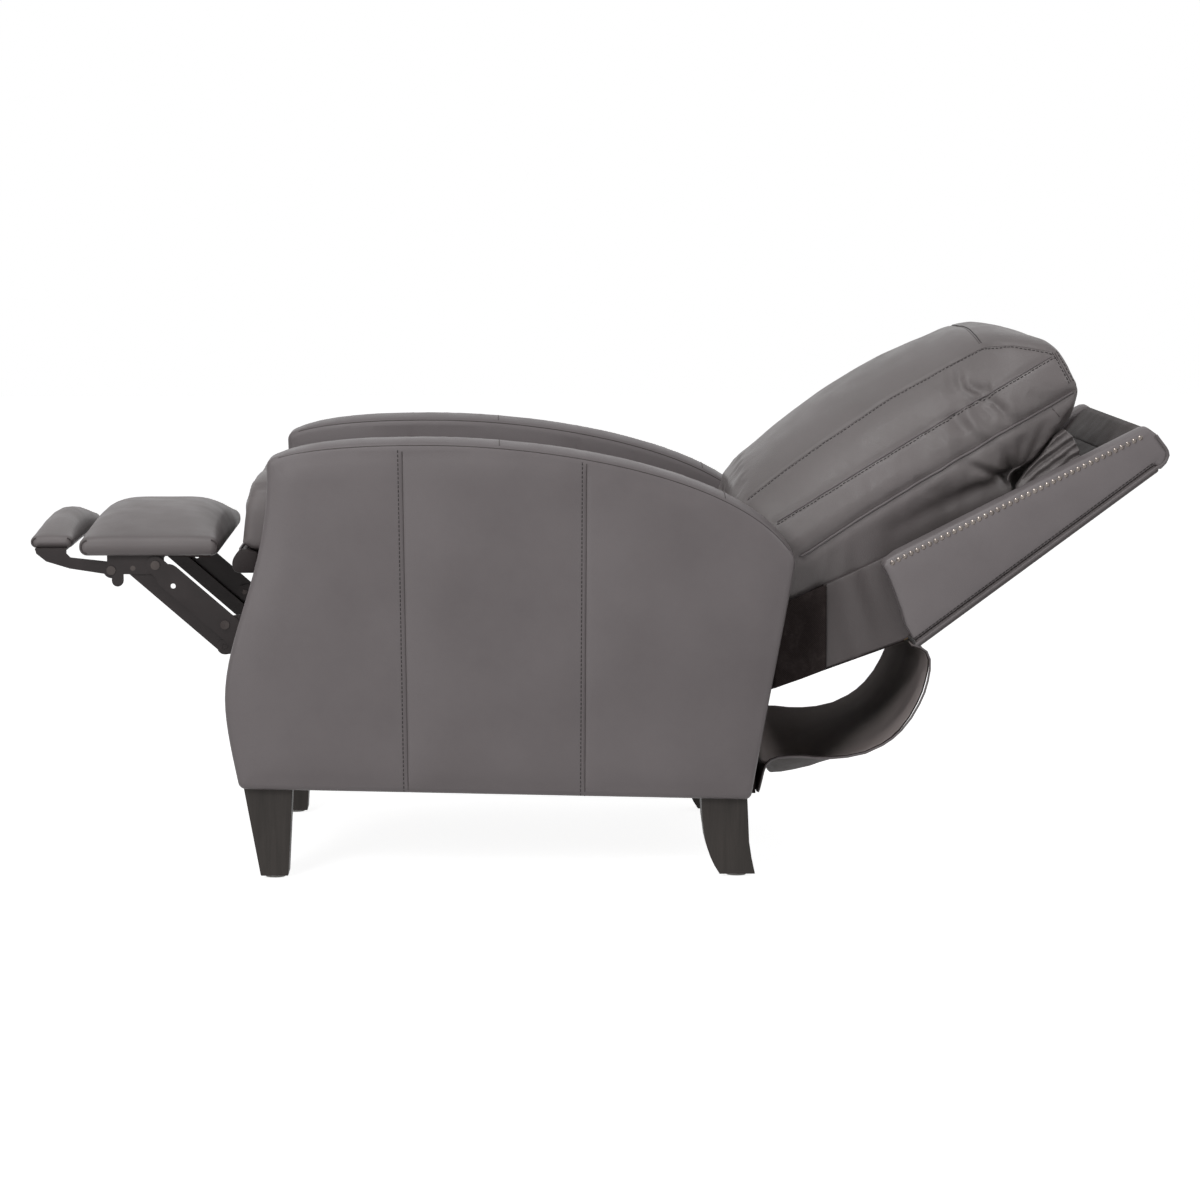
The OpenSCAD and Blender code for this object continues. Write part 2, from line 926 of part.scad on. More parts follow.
// The seat
seat_origin = [-538, 498];
function seat_pt(u, v) = seat_origin + turn([u, v], -seat_slope);
deck_drop = wire_d;
seat_bolt_us = [90, 260, 430, 560];
rail_mid_v = -deck_drop - rail_h / 2;
rail_rear_u = seat_len - 5;
roll_rear_y = -516;
front_rail_rear_y = roll_rear_y + 20;
front_rail_low_z = 433;
rear_rail_t = 22;

// Height of the plane that the rails' tops share, at a place along the chair
function deck_z(y) = seat_origin.y - (y - seat_origin.x) * tan(seat_slope) - deck_drop / cos(seat_slope);

module seat_rail() {
  color(pale_wood)
    difference() {
      side(layer3_x - rail_t, rail_t)
        polygon([
          [front_rail_rear_y, deck_z(front_rail_rear_y) - rail_h / cos(seat_slope)],
          seat_pt(rail_rear_u, -deck_drop - rail_h),
          seat_pt(rail_rear_u, -deck_drop),
          [front_rail_rear_y, deck_z(front_rail_rear_y)]
        ]);
      side(layer3_x - rail_t - cut, rail_t + 2 * cut)
        for (u = seat_bolt_us)
          tight_hole(seat_pt(u, rail_mid_v));
    }
}

module left_seat_rail() {
  seat_rail();
}

module right_seat_rail() {
  mirror([1, 0, 0])
    seat_rail();
}

module seat_front_rail() {
  half = seat_w / 2 - 4;
  color(pale_wood)
    side(-half, 2 * half)
      polygon([
        [roll_rear_y, front_rail_low_z],
        [front_rail_rear_y, front_rail_low_z],
        [front_rail_rear_y, deck_z(front_rail_rear_y)],
        [roll_rear_y, deck_z(roll_rear_y)]
      ]);
}

module seat_rear_rail() {
  half = layer3_x - rail_t;
  color(pale_wood)
    side(-half, 2 * half)
      polygon([
        seat_pt(rail_rear_u - rear_rail_t, -deck_drop - rail_h),
        seat_pt(rail_rear_u, -deck_drop - rail_h),
        seat_pt(rail_rear_u, -deck_drop),
        seat_pt(rail_rear_u - rear_rail_t, -deck_drop)
      ]);
}

// A flat-laid sinuous spring: half rings joined end to end by short straights
spring_loop_r = 13;
spring_bar = 22;
module sinuous(length) {
  loops = floor(length / (2 * spring_loop_r));
  pitch = length / loops;
  r = pitch / 2;
  for (i = [0:loops - 1])
    let (up = i % 2 == 0)
      translate([pitch * (i + 0.5), up ? spring_bar / 2 : -spring_bar / 2])
        intersection() {
          difference() {
            circle(r = r + wire_d / 2);
            circle(r = r - wire_d / 2);
          }
          translate([-2 * r, up ? 0 : -2 * r])
            square([4 * r, 2 * r]);
        }
  for (i = [0:loops])
    translate([pitch * i - wire_d / 2, -spring_bar / 2])
      square([wire_d, spring_bar]);
}

module seat_springs() {
  start = (roll_rear_y - seat_origin.x) / cos(seat_slope) + 6;
  run = rail_rear_u - rear_rail_t / 2 - start;
  reach = layer3_x - rail_t - 40;
  at = seat_pt(start, -deck_drop);
  color(bright_steel)
    for (i = [0:spring_n - 1])
      translate([lerp(-reach, reach, i / (spring_n - 1)), at.x, at.y])
        rotate([-seat_slope, 0, 0])
          linear_extrude(height = wire_d)
            rotate(90)
              sinuous(run);
}

module seat_cushion() {
  xs = stations(seat_w / 2, 10);
  n = 20;
  low_v = air;
  rings = [
    for (x = xs)
      let (s = 2 * x / seat_w, up = fullness(s, 6))
        [
          for (k = [0:2 * n + 1])
            let (
              i = k <= n ? k : 2 * n + 1 - k,
              t = (1 - cos(180 * i / n)) / 2,
              full = fullness(2 * t - 1, 9),
              bulge_out = (2 * t - 1) * 6 * full * up,
              height = lerp(seat_cushion_t, seat_cushion_t - 16, t),
              v = k <= n ? height * (0.55 + 0.45 * full) * up : low_v
            )
              seat_pt(t * seat_len + (k <= n ? bulge_out : 0), v)
        ]
  ];
  color(leather)
    lofted(xs, rings);
}

roll_nose = [seat_origin.x - 17, 474];
roll_low_z = 459.5;
module seat_front_roll() {
  roll_top = seat_origin + [4, -1.5];
  roll_foot = [roll_nose.x + 14, roll_low_z];
  color(leather)
    side(-seat_w / 2, seat_w)
      polygon(concat(
        [[roll_rear_y, roll_low_z], [roll_rear_y, roll_top.y - 5.5], roll_top],
        curve(roll_top - [6, 1], roll_top - [14, 5], roll_nose + [0, 10], roll_nose, 6),
        curve(roll_nose, roll_nose - [0, 10], roll_foot - [9, 0], roll_foot, 6),
        [roll_foot]
      ));
}

plate_front_u = 76;
plate_rear_pt = seat_pt(rail_rear_u - 25, rail_mid_v);
module seat_plate() {
  color(steel)
    side(layer3_x, plate_t)
      difference() {
        union() {
          bar(seat_pt(plate_front_u, rail_mid_v), plate_rear_pt, rail_h);
          bar(seat_pivot, guide_seat_pivot, 30);
          bar(guide_seat_pivot, seat_pt(150, rail_mid_v), 34);
          bar(seat_pivot, seat_pt(215, rail_mid_v), 34);
          bar(front_swing_top, seat_pt(320, rail_mid_v), 34);
          bar(rear_swing_top, seat_pt(580, rail_mid_v), 34);
          bar(drive_on_seat, plate_rear_pt, 28);
        }
        for (p = [seat_pivot, guide_seat_pivot, front_swing_top, rear_swing_top, drive_on_seat])
          tight_hole(p);
        for (u = seat_bolt_us)
          tight_hole(seat_pt(u, rail_mid_v));
      }
}

module left_seat_plate() {
  seat_plate();
}

module right_seat_plate() {
  mirror([1, 0, 0])
    seat_plate();
}

module seat_rivets() {
  color(rivet_steel)
    pair() {
      for (p = [seat_pivot, guide_seat_pivot, front_swing_top, rear_swing_top])
        rivet(p, layer3_x, layer + plate_t, 0);
      rivet(drive_on_seat, layer4_x, layer + plate_t, 0);
      for (u = seat_bolt_us)
        rivet(seat_pt(u, rail_mid_v), layer3_x - rail_t, rail_t + plate_t, 0);
    }
}

// The links
// Play of a pivot that closes a loop of links whose angles only follow each other nearly
loop_play = 2.8;
drive_play = 6.2;
drive_eye_w = 29;
// Play of a pivot that closes a true parallelogram
guide_play = 0.3;

module front_swing_links() {
  color(steel)
    pair()
      side(layer2_x, plate_t)
        difference() {
          bar(front_swing_base, front_swing_top, link_w);
          running_hole(front_swing_base);
          running_hole(front_swing_top);
        }
}

module rear_swing_links() {
  color(steel)
    pair()
      side(layer2_x, plate_t)
        difference() {
          bar(rear_swing_base, rear_swing_top, link_w);
          running_hole(rear_swing_base);
          disc(rear_swing_top, rivet_r + loop_play);
        }
}

module recline_links() {
  color(steel)
    pair()
      side(layer4_x, plate_t)
        difference() {
          union() {
            bar(drive_on_back, drive_on_seat, link_w);
            disc(drive_on_seat, drive_eye_w / 2);
          }
          running_hole(drive_on_back);
          disc(drive_on_seat, rivet_r + drive_play);
        }
}

module rear_footrest_links() {
  color(steel)
    pair()
      side(layer2_x, plate_t)
        difference() {
          bar(seat_pivot, low_pivot, link_w);
          running_hole(seat_pivot);
          running_hole(mid_pivot);
          disc(low_pivot, rivet_r + guide_play);
        }
}

tube_wall = 2;
module footrest_tube() {
  color(steel)
    side(-layer2_x, 2 * layer2_x)
      difference() {
        disc(tube_pt, tube_r);
        disc(tube_pt, tube_r - tube_wall);
      }
}

module guide_links() {
  color(steel)
    pair()
      side(layer2_x, plate_t)
        difference() {
          bar(guide_seat_pivot, guide_pivot, link_w);
          running_hole(guide_seat_pivot);
          disc(guide_pivot, rivet_r + guide_play);
        }
}

module front_footrest_links() {
  neck = pad_pivot - 26 * dir(front_link_dir);
  spare_hole = [-647, 438];
  color(steel)
    pair()
      side(layer1_x, plate_t)
        difference() {
          union() {
            bar(neck, mid_pivot, front_link_w);
            bar(pad_pivot, neck, front_link_w - 10);
          }
          tight_hole(pad_pivot);
          tight_hole(mid_pivot);
          tight_hole(guide_pivot);
          disc(spare_hole, rivet_r);
        }
}

module link_rivets() {
  color(rivet_steel)
    pair()
      for (p = [pad_pivot, mid_pivot, guide_pivot])
        rivet(p, layer2_x, layer + plate_t, rivet_head_t);
}

module bracket_links() {
  slim = link_w - 2;
  color(steel)
    pair() {
      side(layer3_x, plate_t)
        difference() {
          bar(ear_pivot, low_pivot, slim);
          running_hole(ear_pivot);
        }
      side(layer3_x + plate_t, plate_gap + plate_t)
        disc(low_pivot, rivet_r);
    }
}

// The footrest
pad_slope = 2;
function pad_low(y) = pad_rear.y + (pad_rear.x - y) * tan(pad_slope);
function board_low(y) = pad_low(y) - board_t;
bracket_y = [-748, -661];
bracket_low_z = 456;
bracket_flange_x = layer4_x - 45;

module footrest_brackets() {
  y0 = bracket_y[0];
  y1 = bracket_y[1];
  color(steel)
    pair()
      union() {
        side(layer2_x, plate_t)
          difference() {
            union() {
              polygon([
                [y0, bracket_low_z],
                [y1, bracket_low_z],
                [y1, board_low(y1)],
                [y0, board_low(y0)]
              ]);
              bar([-732, 446], [-732, 462], 18);
            }
            running_hole(pad_pivot);
            tight_hole(ear_pivot);
            tight_hole(flip_pivot);
          }
        side(bracket_flange_x, layer2_x + plate_t - bracket_flange_x)
          polygon([
            [y0, board_low(y0) - plate_t],
            [y1, board_low(y1) - plate_t],
            [y1, board_low(y1)],
            [y0, board_low(y0)]
          ]);
      }
}

module bracket_rivets() {
  color(rivet_steel)
    pair() {
      rivet(ear_pivot, layer3_x, layer + plate_t, 0);
      rivet(flip_pivot, layer4_x, 2 * layer + plate_t, rivet_head_t);
    }
}

board_inset = 14;
module footrest_board() {
  y0 = pad_front_y + board_inset;
  y1 = pad_rear.x - board_inset;
  color(pale_wood)
    side(-pad_w / 2 + board_inset, pad_w - 2 * board_inset)
      polygon([
        [y0, board_low(y0)],
        [y1, board_low(y1)],
        [y1, pad_low(y1)],
        [y0, pad_low(y0)]
      ]);
}

// A padded board's cushion: a rolled edge all round and a crown in the middle
module pad_form(width, depth, edge, crown, mid_y, low) {
  xs = stations(width / 2, 10);
  n = 14;
  rings = [
    for (x = xs)
      let (s = 2 * x / width, ends = fullness(s, 9))
        [
          for (k = [0:2 * n + 1])
            let (
              i = k <= n ? k : 2 * n + 1 - k,
              w = -cos(180 * i / n),
              y = mid_y + w * depth / 2 * (1 - 0.02 * pow(abs(s), 8)),
              roll = fullness(w, 7),
              arch = cos(90 * s) * cos(90 * w),
              under = edge * 0.35 * (1 - roll * ends),
              over = (edge + crown * arch) * (0.5 + 0.5 * roll) * (0.5 + 0.5 * ends)
            )
              [y, low(y) + (k <= n ? over : under)]
        ]
  ];
  lofted(xs, rings);
}

module footrest_pad() {
  color(leather)
    pad_form(pad_w, pad_d, pad_edge, pad_crown, pad_rear.x - pad_d / 2, function (y) pad_low(y) + air);
}

flip_flange_t = 3;
module flip_arms() {
  y0 = flip_mid_y - 24;
  y1 = flip_mid_y + 24;
  top = flip_under_z;
  color(steel)
    pair()
      union() {
        side(layer4_x, plate_t)
          difference() {
            union() {
              polygon([
                [flip_pivot.x, flip_pivot.y - 8],
                flip_pivot + [0, 12],
                [y1 + 6, top - 14],
                [y1, top - 8],
                [y1, top],
                [y0, top],
                [y0 + 2, top - 8],
                [y0 + 17, top - 20],
                [y1 + 5, top - 31]
              ]);
              disc(flip_pivot, 13);
            }
            running_hole(flip_pivot);
          }
        side(bracket_flange_x, layer4_x + plate_t - bracket_flange_x)
          polygon([[y0, top - flip_flange_t], [y1, top - flip_flange_t], [y1, top], [y0, top]]);
      }
}

module flip_pad() {
  color(leather)
    pad_form(flip_w, flip_d, flip_edge, flip_crown, flip_mid_y, function (y) flip_under_z + air);
}

left_arm_cover();
right_arm_cover();
left_arm_top();
right_arm_top();
left_arm_frame();
right_arm_frame();
base_side_rails();
base_front_rail();
base_rear_rail();
left_base_plate();
right_base_plate();
base_rivets();
leg_bolts();
left_front_leg();
right_front_leg();
left_rear_leg();
right_rear_leg();
glides();
rear_flap();
left_back_post();
right_back_post();
back_top_rail();
back_bottom_rail();
back_straps();
inside_back();
outside_back();
left_wing();
right_wing();
back_top_cap();
lower_back_sides();
back_dust_cover();
back_brackets();
back_rivets();
nailheads();
back_cushion();
seat_front_rail();
seat_rear_rail();
left_seat_rail();
right_seat_rail();
seat_springs();
seat_cushion();
seat_front_roll();
left_seat_plate();
right_seat_plate();
seat_rivets();
front_swing_links();
rear_swing_links();
recline_links();
rear_footrest_links();
footrest_tube();
guide_links();
front_footrest_links();
link_rivets();
bracket_links();
footrest_brackets();
bracket_rivets();
footrest_board();
footrest_pad();
flip_arms();
flip_pad();
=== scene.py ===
# %% [markdown]
# # A high leg recliner, fully reclined
# The chair is leather over a timber frame, with a steel linkage that carries the footrest.
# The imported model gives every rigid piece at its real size. This script adds the upholstery:
# padded arms, wings, cushions, seams, stitches and the loose flap behind the seat.

# %% Load the frame
import json
import math

import bmesh
import bpy
from mathutils import Matrix, Vector, kdtree, noise
from mathutils.bvhtree import BVHTree


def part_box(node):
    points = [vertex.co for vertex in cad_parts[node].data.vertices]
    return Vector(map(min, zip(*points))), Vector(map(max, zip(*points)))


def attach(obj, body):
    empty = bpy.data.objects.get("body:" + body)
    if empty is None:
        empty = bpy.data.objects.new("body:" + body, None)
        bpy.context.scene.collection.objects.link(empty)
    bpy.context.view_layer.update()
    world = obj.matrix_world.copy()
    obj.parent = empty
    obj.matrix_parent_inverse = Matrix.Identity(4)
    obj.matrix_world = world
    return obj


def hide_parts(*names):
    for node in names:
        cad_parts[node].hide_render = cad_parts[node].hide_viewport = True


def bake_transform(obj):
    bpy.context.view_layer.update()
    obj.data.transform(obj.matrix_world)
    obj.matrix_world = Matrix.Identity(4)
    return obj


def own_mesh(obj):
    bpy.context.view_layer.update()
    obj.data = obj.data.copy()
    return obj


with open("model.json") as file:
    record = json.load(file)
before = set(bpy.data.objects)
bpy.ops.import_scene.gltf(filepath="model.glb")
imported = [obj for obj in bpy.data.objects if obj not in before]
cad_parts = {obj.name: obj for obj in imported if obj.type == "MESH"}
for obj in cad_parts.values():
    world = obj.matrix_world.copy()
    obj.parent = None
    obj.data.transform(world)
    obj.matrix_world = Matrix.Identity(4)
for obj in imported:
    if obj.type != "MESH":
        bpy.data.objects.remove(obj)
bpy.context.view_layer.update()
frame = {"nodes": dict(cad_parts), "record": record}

# %% [markdown]
# ## Camera and light
# The photograph looks along the chair's width from a long way off, a little above the arms.
# A long lens far from the chair gives the same weak perspective.
# Large soft lamps and a pale room light the leather as a studio does, and the floor stays pale.

# %% Camera
CAMERA_PLACE = Vector((6.55, -0.160, 1.0495))
CAMERA_YAW = math.radians(1.5235)
CAMERA_PITCH = math.radians(5.7588)
LENS_MM = 123.45
SENSOR_MM = 36
FAR_CLIP = 60

camera_data = bpy.data.cameras.new("camera")
camera_data.lens = LENS_MM
camera_data.sensor_width = SENSOR_MM
camera_data.clip_end = FAR_CLIP
camera = bpy.data.objects.new("camera", camera_data)
bpy.context.scene.collection.objects.link(camera)
looking = Vector((
    -math.cos(CAMERA_YAW) * math.cos(CAMERA_PITCH),
    math.sin(CAMERA_YAW) * math.cos(CAMERA_PITCH),
    -math.sin(CAMERA_PITCH),
))
camera.location = CAMERA_PLACE
camera.rotation_euler = looking.to_track_quat("-Z", "Y").to_euler()
bpy.context.scene.camera = camera
bpy.context.scene.view_settings.view_transform = "Standard"
print("camera looks along", [round(value, 3) for value in looking])

# %% [markdown]
# ## Building materials by nodes
# Every finish is a small tree of nodes: noise drives a tone between two colours, a gloss and a
# fine relief. The same few steps come back in each, so they are written once.

# %% Colours
def linear(red, green, blue):
    """A screen colour, 0 to 255, as a linear colour with alpha."""
    def channel(value):
        share = value / 255
        return share / 12.92 if share <= 0.04045 else ((share + 0.055) / 1.055) ** 2.4
    return (channel(red), channel(green), channel(blue), 1.0)


print("mid grey on a screen is", round(linear(128, 128, 128)[0], 3), "of the light of white")

# %% Nodes and groups
def add_node(tree, kind, links=(), **settings):
    """A shader node; each link is (input name or number, a socket to join or a value to set)."""
    node = tree.nodes.new("ShaderNode" + kind)
    for name, value in settings.items():
        setattr(node, name, value)
    for where, what in links:
        if isinstance(what, bpy.types.NodeSocket):
            tree.links.new(what, node.inputs[where])
        else:
            node.inputs[where].default_value = what
    return node


def node_group(name, inputs, outputs):
    """A shader node group with named sockets; returns the group and its two end nodes."""
    group = bpy.data.node_groups.new(name, "ShaderNodeTree")
    for label, value in inputs:
        socket = group.interface.new_socket(label, in_out="INPUT", socket_type="NodeSocketFloat")
        socket.default_value = value
    for label in outputs:
        group.interface.new_socket(label, in_out="OUTPUT", socket_type="NodeSocketFloat")
    return group, group.nodes.new("NodeGroupInput"), group.nodes.new("NodeGroupOutput")


def blank_material(name):
    material = bpy.data.materials.new(name)
    material.use_nodes = True
    return material, material.node_tree, material.node_tree.nodes["Principled BSDF"]


print("materials before any is made:", len(bpy.data.materials))

# %% The steps that the finishes share
def own_space(tree):
    """The chair's own coordinates, in metres, so that a pattern stays on its piece."""
    return add_node(tree, "TexCoord").outputs["Object"]


def noise_in(tree, place, scale, detail, **more):
    """A noise pattern from 0 to 1 at a place."""
    values = [("Vector", place), ("Scale", scale), ("Detail", detail)]
    return add_node(tree, "TexNoise", values + list(more.items())).outputs["Fac"]


def spread(tree, value, low, high, out_low=0.0, out_high=1.0):
    """A value from low to high, spread over another range."""
    return add_node(tree, "MapRange", [(0, value), (1, low), (2, high), (3, out_low), (4, out_high)]).outputs[0]


def finish_shader(tree, shader, tone, dark, light, relief, gloss=None):
    """Joins a tone between two colours, a relief (strength, distance, height) and a gloss to the shader."""
    colour = add_node(tree, "Mix", [(0, tone), (6, linear(*dark)), (7, linear(*light))], data_type="RGBA")
    tree.links.new(colour.outputs[2], shader.inputs["Base Color"])
    bump = add_node(tree, "Bump", list(zip(("Strength", "Distance", "Height"), relief)))
    tree.links.new(bump.outputs[0], shader.inputs["Normal"])
    if gloss:
        tree.links.new(gloss, shader.inputs["Roughness"])


print("every finish has a tone, a relief and, apart from cloth, a changing gloss")

# %% Lamps
def soft_lamp(name, place, target, size, power):
    lamp = bpy.data.lights.new(name, "AREA")
    lamp.shape = "DISK"
    lamp.size = size
    lamp.energy = power
    holder = bpy.data.objects.new(name, lamp)
    bpy.context.scene.collection.objects.link(holder)
    holder.location = place
    holder.rotation_euler = (Vector(target) - Vector(place)).to_track_quat("-Z", "Y").to_euler()


# Name, place, target, disk size in metres, power in watts
LAMPS = (
    ("top_lamp", (1.3, -0.9, 3.3), (0, -0.1, 0.4), 1.1, 33),
    ("front_lamp", (5.0, -2.2, 2.6), (0, 0, 0.4), 1.6, 96),
    ("low_lamp", (4.2, -2.6, 0.5), (0, 0.5, 0.2), 0.9, 14),
    ("rear_lamp", (1.6, 3.0, 2.2), (0, 0.4, 0.5), 1.0, 22),
)
for lamp_row in LAMPS:
    soft_lamp(*lamp_row)
print("lamps:", len(bpy.data.lights))

# %% Floor and room
def white_where_seen(tree, seen_strength, strength):
    """A strength that is higher for what the camera sees, directly or in a gloss, than for the light."""
    path = add_node(tree, "LightPath").outputs
    gloss = add_node(tree, "Math", [(0, path["Is Camera Ray"]), (1, path["Is Glossy Ray"])], operation="MAXIMUM")
    seen = add_node(tree, "Math", [(0, gloss.outputs[0]), (1, path["Is Transmission Ray"])], operation="MAXIMUM")
    return spread(tree, seen.outputs[0], 0.0, 1.0, strength, seen_strength)


world = bpy.data.worlds.new("pale room")
bpy.context.scene.world = world
world.use_nodes = True
sky = world.node_tree.nodes["Background"]
sky.inputs["Color"].default_value = (1, 1, 1, 1)
ROOM_SEEN, ROOM_LIGHT = 1.0, 0.19
world.node_tree.links.new(white_where_seen(world.node_tree, ROOM_SEEN, ROOM_LIGHT), sky.inputs["Strength"])

FLOOR_HALF = 14.0
FLOOR_GREY = 0.6
FLOOR_SEEN = 0.9
floor_mesh = bmesh.new()
bmesh.ops.create_grid(floor_mesh, x_segments=2, y_segments=2, size=FLOOR_HALF)
floor_data = bpy.data.meshes.new("floor")
floor_mesh.to_mesh(floor_data)
floor_mesh.free()
floor = bpy.data.objects.new("floor", floor_data)
bpy.context.scene.collection.objects.link(floor)
floor_material, floor_tree, floor_shader = blank_material("pale floor")
for input_name, value in (("Base Color", (FLOOR_GREY, FLOOR_GREY, FLOOR_GREY, 1)), ("Roughness", 0.9),
                          ("Specular IOR Level", 0.1), ("Emission Color", (1, 1, 1, 1))):
    floor_shader.inputs[input_name].default_value = value
floor_tree.links.new(white_where_seen(floor_tree, FLOOR_SEEN, 0.0), floor_shader.inputs["Emission Strength"])
floor_data.materials.append(floor_material)
print("floor", 2 * FLOOR_HALF, "m wide")

# %% [markdown]
# ## Leather
# The real skin is a smooth finished leather: fine pores, soft creases, and a tone that drifts from
# panel to panel. A picture would tile, so the grain is made of cells and noise in the chair's own
# space. One node group gives the grain to every leather, and each leather sets its own amounts.

# %% The leather grain group
def leather_grain_group():
    group, entry, leave = node_group(
        "leather grain", [("Pores", 420.0), ("Crease", 0.35)], ["Height", "Tone", "Sheen"])
    place = own_space(group)
    cells = add_node(group, "TexVoronoi", [("Vector", place), ("Scale", entry.outputs["Pores"])],
                     feature="DISTANCE_TO_EDGE")
    pores = add_node(group, "MapRange", [(0, cells.outputs["Distance"]), (2, 0.22)], interpolation_type="SMOOTHSTEP")
    creases = noise_in(group, place, 34.0, 5.0, Roughness=0.62)
    deep = add_node(group, "Math", [(0, creases), (1, entry.outputs["Crease"])], operation="MULTIPLY")
    height = add_node(group, "Math", [(0, pores.outputs[0]), (1, 0.22), (2, deep.outputs[0])],
                      operation="MULTIPLY_ADD")
    drift = noise_in(group, place, 5.5, 6.0, Roughness=0.6)
    patches = noise_in(group, place, 22.0, 3.0)
    group.links.new(height.outputs[0], leave.inputs["Height"])
    group.links.new(spread(group, drift, 0.32, 0.68), leave.inputs["Tone"])
    group.links.new(spread(group, patches, 0.3, 0.7), leave.inputs["Sheen"])
    return group


LEATHER_GRAIN = leather_grain_group()
print("leather grain group has", len(LEATHER_GRAIN.nodes), "nodes")

# %% The leathers
def leather(name, dark, light, roughness=0.46, pores=420.0, crease=0.35, relief=0.0006, specular=0.42):
    """A leather between two screen colours, with its own pore density and crease depth."""
    material, tree, shader = blank_material(name)
    grain = add_node(tree, "Group", node_tree=LEATHER_GRAIN)
    grain.inputs["Pores"].default_value = pores
    grain.inputs["Crease"].default_value = crease
    gloss = spread(tree, grain.outputs["Sheen"], 0.0, 1.0, roughness - 0.05, roughness + 0.07)
    finish_shader(tree, shader, grain.outputs["Tone"], dark, light, (0.55, relief, grain.outputs["Height"]), gloss)
    shader.inputs["Specular IOR Level"].default_value = specular
    return material


DULL = 0.12
ARM_LEATHER = leather("arm leather", (98, 92, 93), (108, 102, 103))
BACK_LEATHER = leather("back leather", (111, 105, 106), (121, 115, 116))
PILLOW_LEATHER = leather("pillow leather", (100, 95, 94), (112, 106, 106), roughness=0.43, crease=0.7, relief=0.0009)
SEAT_LEATHER = leather("seat leather", (98, 92, 92), (109, 103, 103), roughness=0.45, crease=0.6, relief=0.0009)
FOOTREST_LEATHER = leather("footrest leather", (97, 91, 91), (106, 100, 100), crease=0.3)
# Seam cords are much darker than the panels: painted shade of the seam's groove, which the net is too coarse to show.
SEAM_SHADE_LEATHER = leather("seam leather, painted shade", (56, 50, 50), (68, 62, 62), roughness=0.6)
WELT_LEATHER = leather("welt leather", (92, 86, 87), (104, 98, 99))
THREAD = leather("thread", (40, 36, 36), (52, 47, 47), roughness=0.7, pores=900.0)
# The outside back's leather is painted darker than the wings: painted shade, because it faces the floor.
OUTER_SHADED_LEATHER = leather("outside back leather, painted shade", (62, 56, 56), (76, 70, 70), roughness=0.52)
# The inside back and its top cap are painted darker: painted shade from the cushion in front of them.
INNER_SHADED_LEATHER = leather("inside back leather, painted shade", (60, 54, 53), (72, 66, 65), roughness=0.6, specular=DULL)
LOWER_LEATHER = leather("lower back leather", (80, 74, 74), (92, 86, 86), roughness=0.5)
# The roll under the seat's front is painted dark: painted shade, because it lies under the seat's edge.
ROLL_SHADED_LEATHER = leather("roll leather, painted shade", (48, 43, 43), (60, 55, 55), roughness=0.5, specular=DULL)
# The flap's outer face is painted very dark: painted shade, because it faces the floor under the chair.
FLAP_SHADED_LEATHER = leather("flap leather, painted shade", (44, 38, 37), (56, 50, 49), roughness=0.6, specular=DULL)
print("leathers made:", sum("leather" in m.name for m in bpy.data.materials))

# %% [markdown]
# ## Wood, steel, cloth and the small hard finishes
# The legs are stained so dark that the grain shows only in the gloss, as long streaks along the leg.
# The linkage is pressed steel under a thin dark enamel, dull and slightly rippled.
# The dust cover is black woven cloth, and the flap's inner face is the raw, napped side of the hide.

# %% Wood
def timber(name, dark, light, roughness, along, streak=70.0):
    """A timber whose grain runs along one axis: the noise is stretched that way by a small scale."""
    material, tree, shader = blank_material(name)
    stretch = [streak, streak, streak]
    stretch[along] = streak * 0.08
    grain_space = add_node(tree, "Mapping", [("Vector", own_space(tree)), ("Scale", stretch)]).outputs[0]
    tone = spread(tree, noise_in(tree, grain_space, 1.0, 6.0, Roughness=0.65, Distortion=0.4), 0.34, 0.66)
    gloss = spread(tree, tone, 0.0, 1.0, roughness + 0.08, roughness)
    finish_shader(tree, shader, tone, dark, light, (0.35, 0.0004, tone), gloss)
    shader.inputs["Specular IOR Level"].default_value = 0.3
    return material


LEG_WOOD = timber("stained leg wood", (40, 36, 33), (53, 48, 45), 0.5, along=2)
FRAME_TIMBER = timber("frame timber", (176, 146, 106), (204, 176, 134), 0.75, along=1)
RAIL_TIMBER = timber("rail timber", (176, 146, 106), (204, 176, 134), 0.75, along=0)
print("timbers made: 3")

# %% Steel, nickel and nylon
def metal(name, dark, light, metallic, roughness, relief=0.00015, specular=0.5):
    """Painted or bare steel: a fine ripple in the gloss and a slight drift in the tone."""
    material, tree, shader = blank_material(name)
    place = own_space(tree)
    ripples = noise_in(tree, place, 160.0, 4.0)
    tone = spread(tree, noise_in(tree, place, 14.0, 3.0), 0.35, 0.65)
    gloss = spread(tree, ripples, 0.0, 1.0, roughness - 0.08, roughness + 0.1)
    finish_shader(tree, shader, tone, dark, light, (0.4, relief, ripples), gloss)
    shader.inputs["Metallic"].default_value = metallic
    shader.inputs["Specular IOR Level"].default_value = specular
    return material


ENAMEL = metal("dark enamel", (38, 32, 32), (50, 44, 44), 0.0, 0.42, specular=0.25)
RIVET_STEEL = metal("rivet steel", (56, 50, 49), (76, 70, 68), 0.7, 0.3)
BOLT_STEEL = metal("plated bolt steel", (186, 186, 188), (204, 204, 206), 1.0, 0.3)
SPRING_STEEL = metal("oiled spring steel", (74, 72, 70), (96, 94, 92), 0.9, 0.4)
NICKEL = metal("nail nickel", (112, 104, 100), (138, 130, 124), 0.85, 0.2, relief=0.00005)
NYLON = metal("glide nylon", (196, 194, 190), (208, 206, 202), 0.0, 0.4)
print("steels:", [m.name for m in bpy.data.materials if "steel" in m.name])

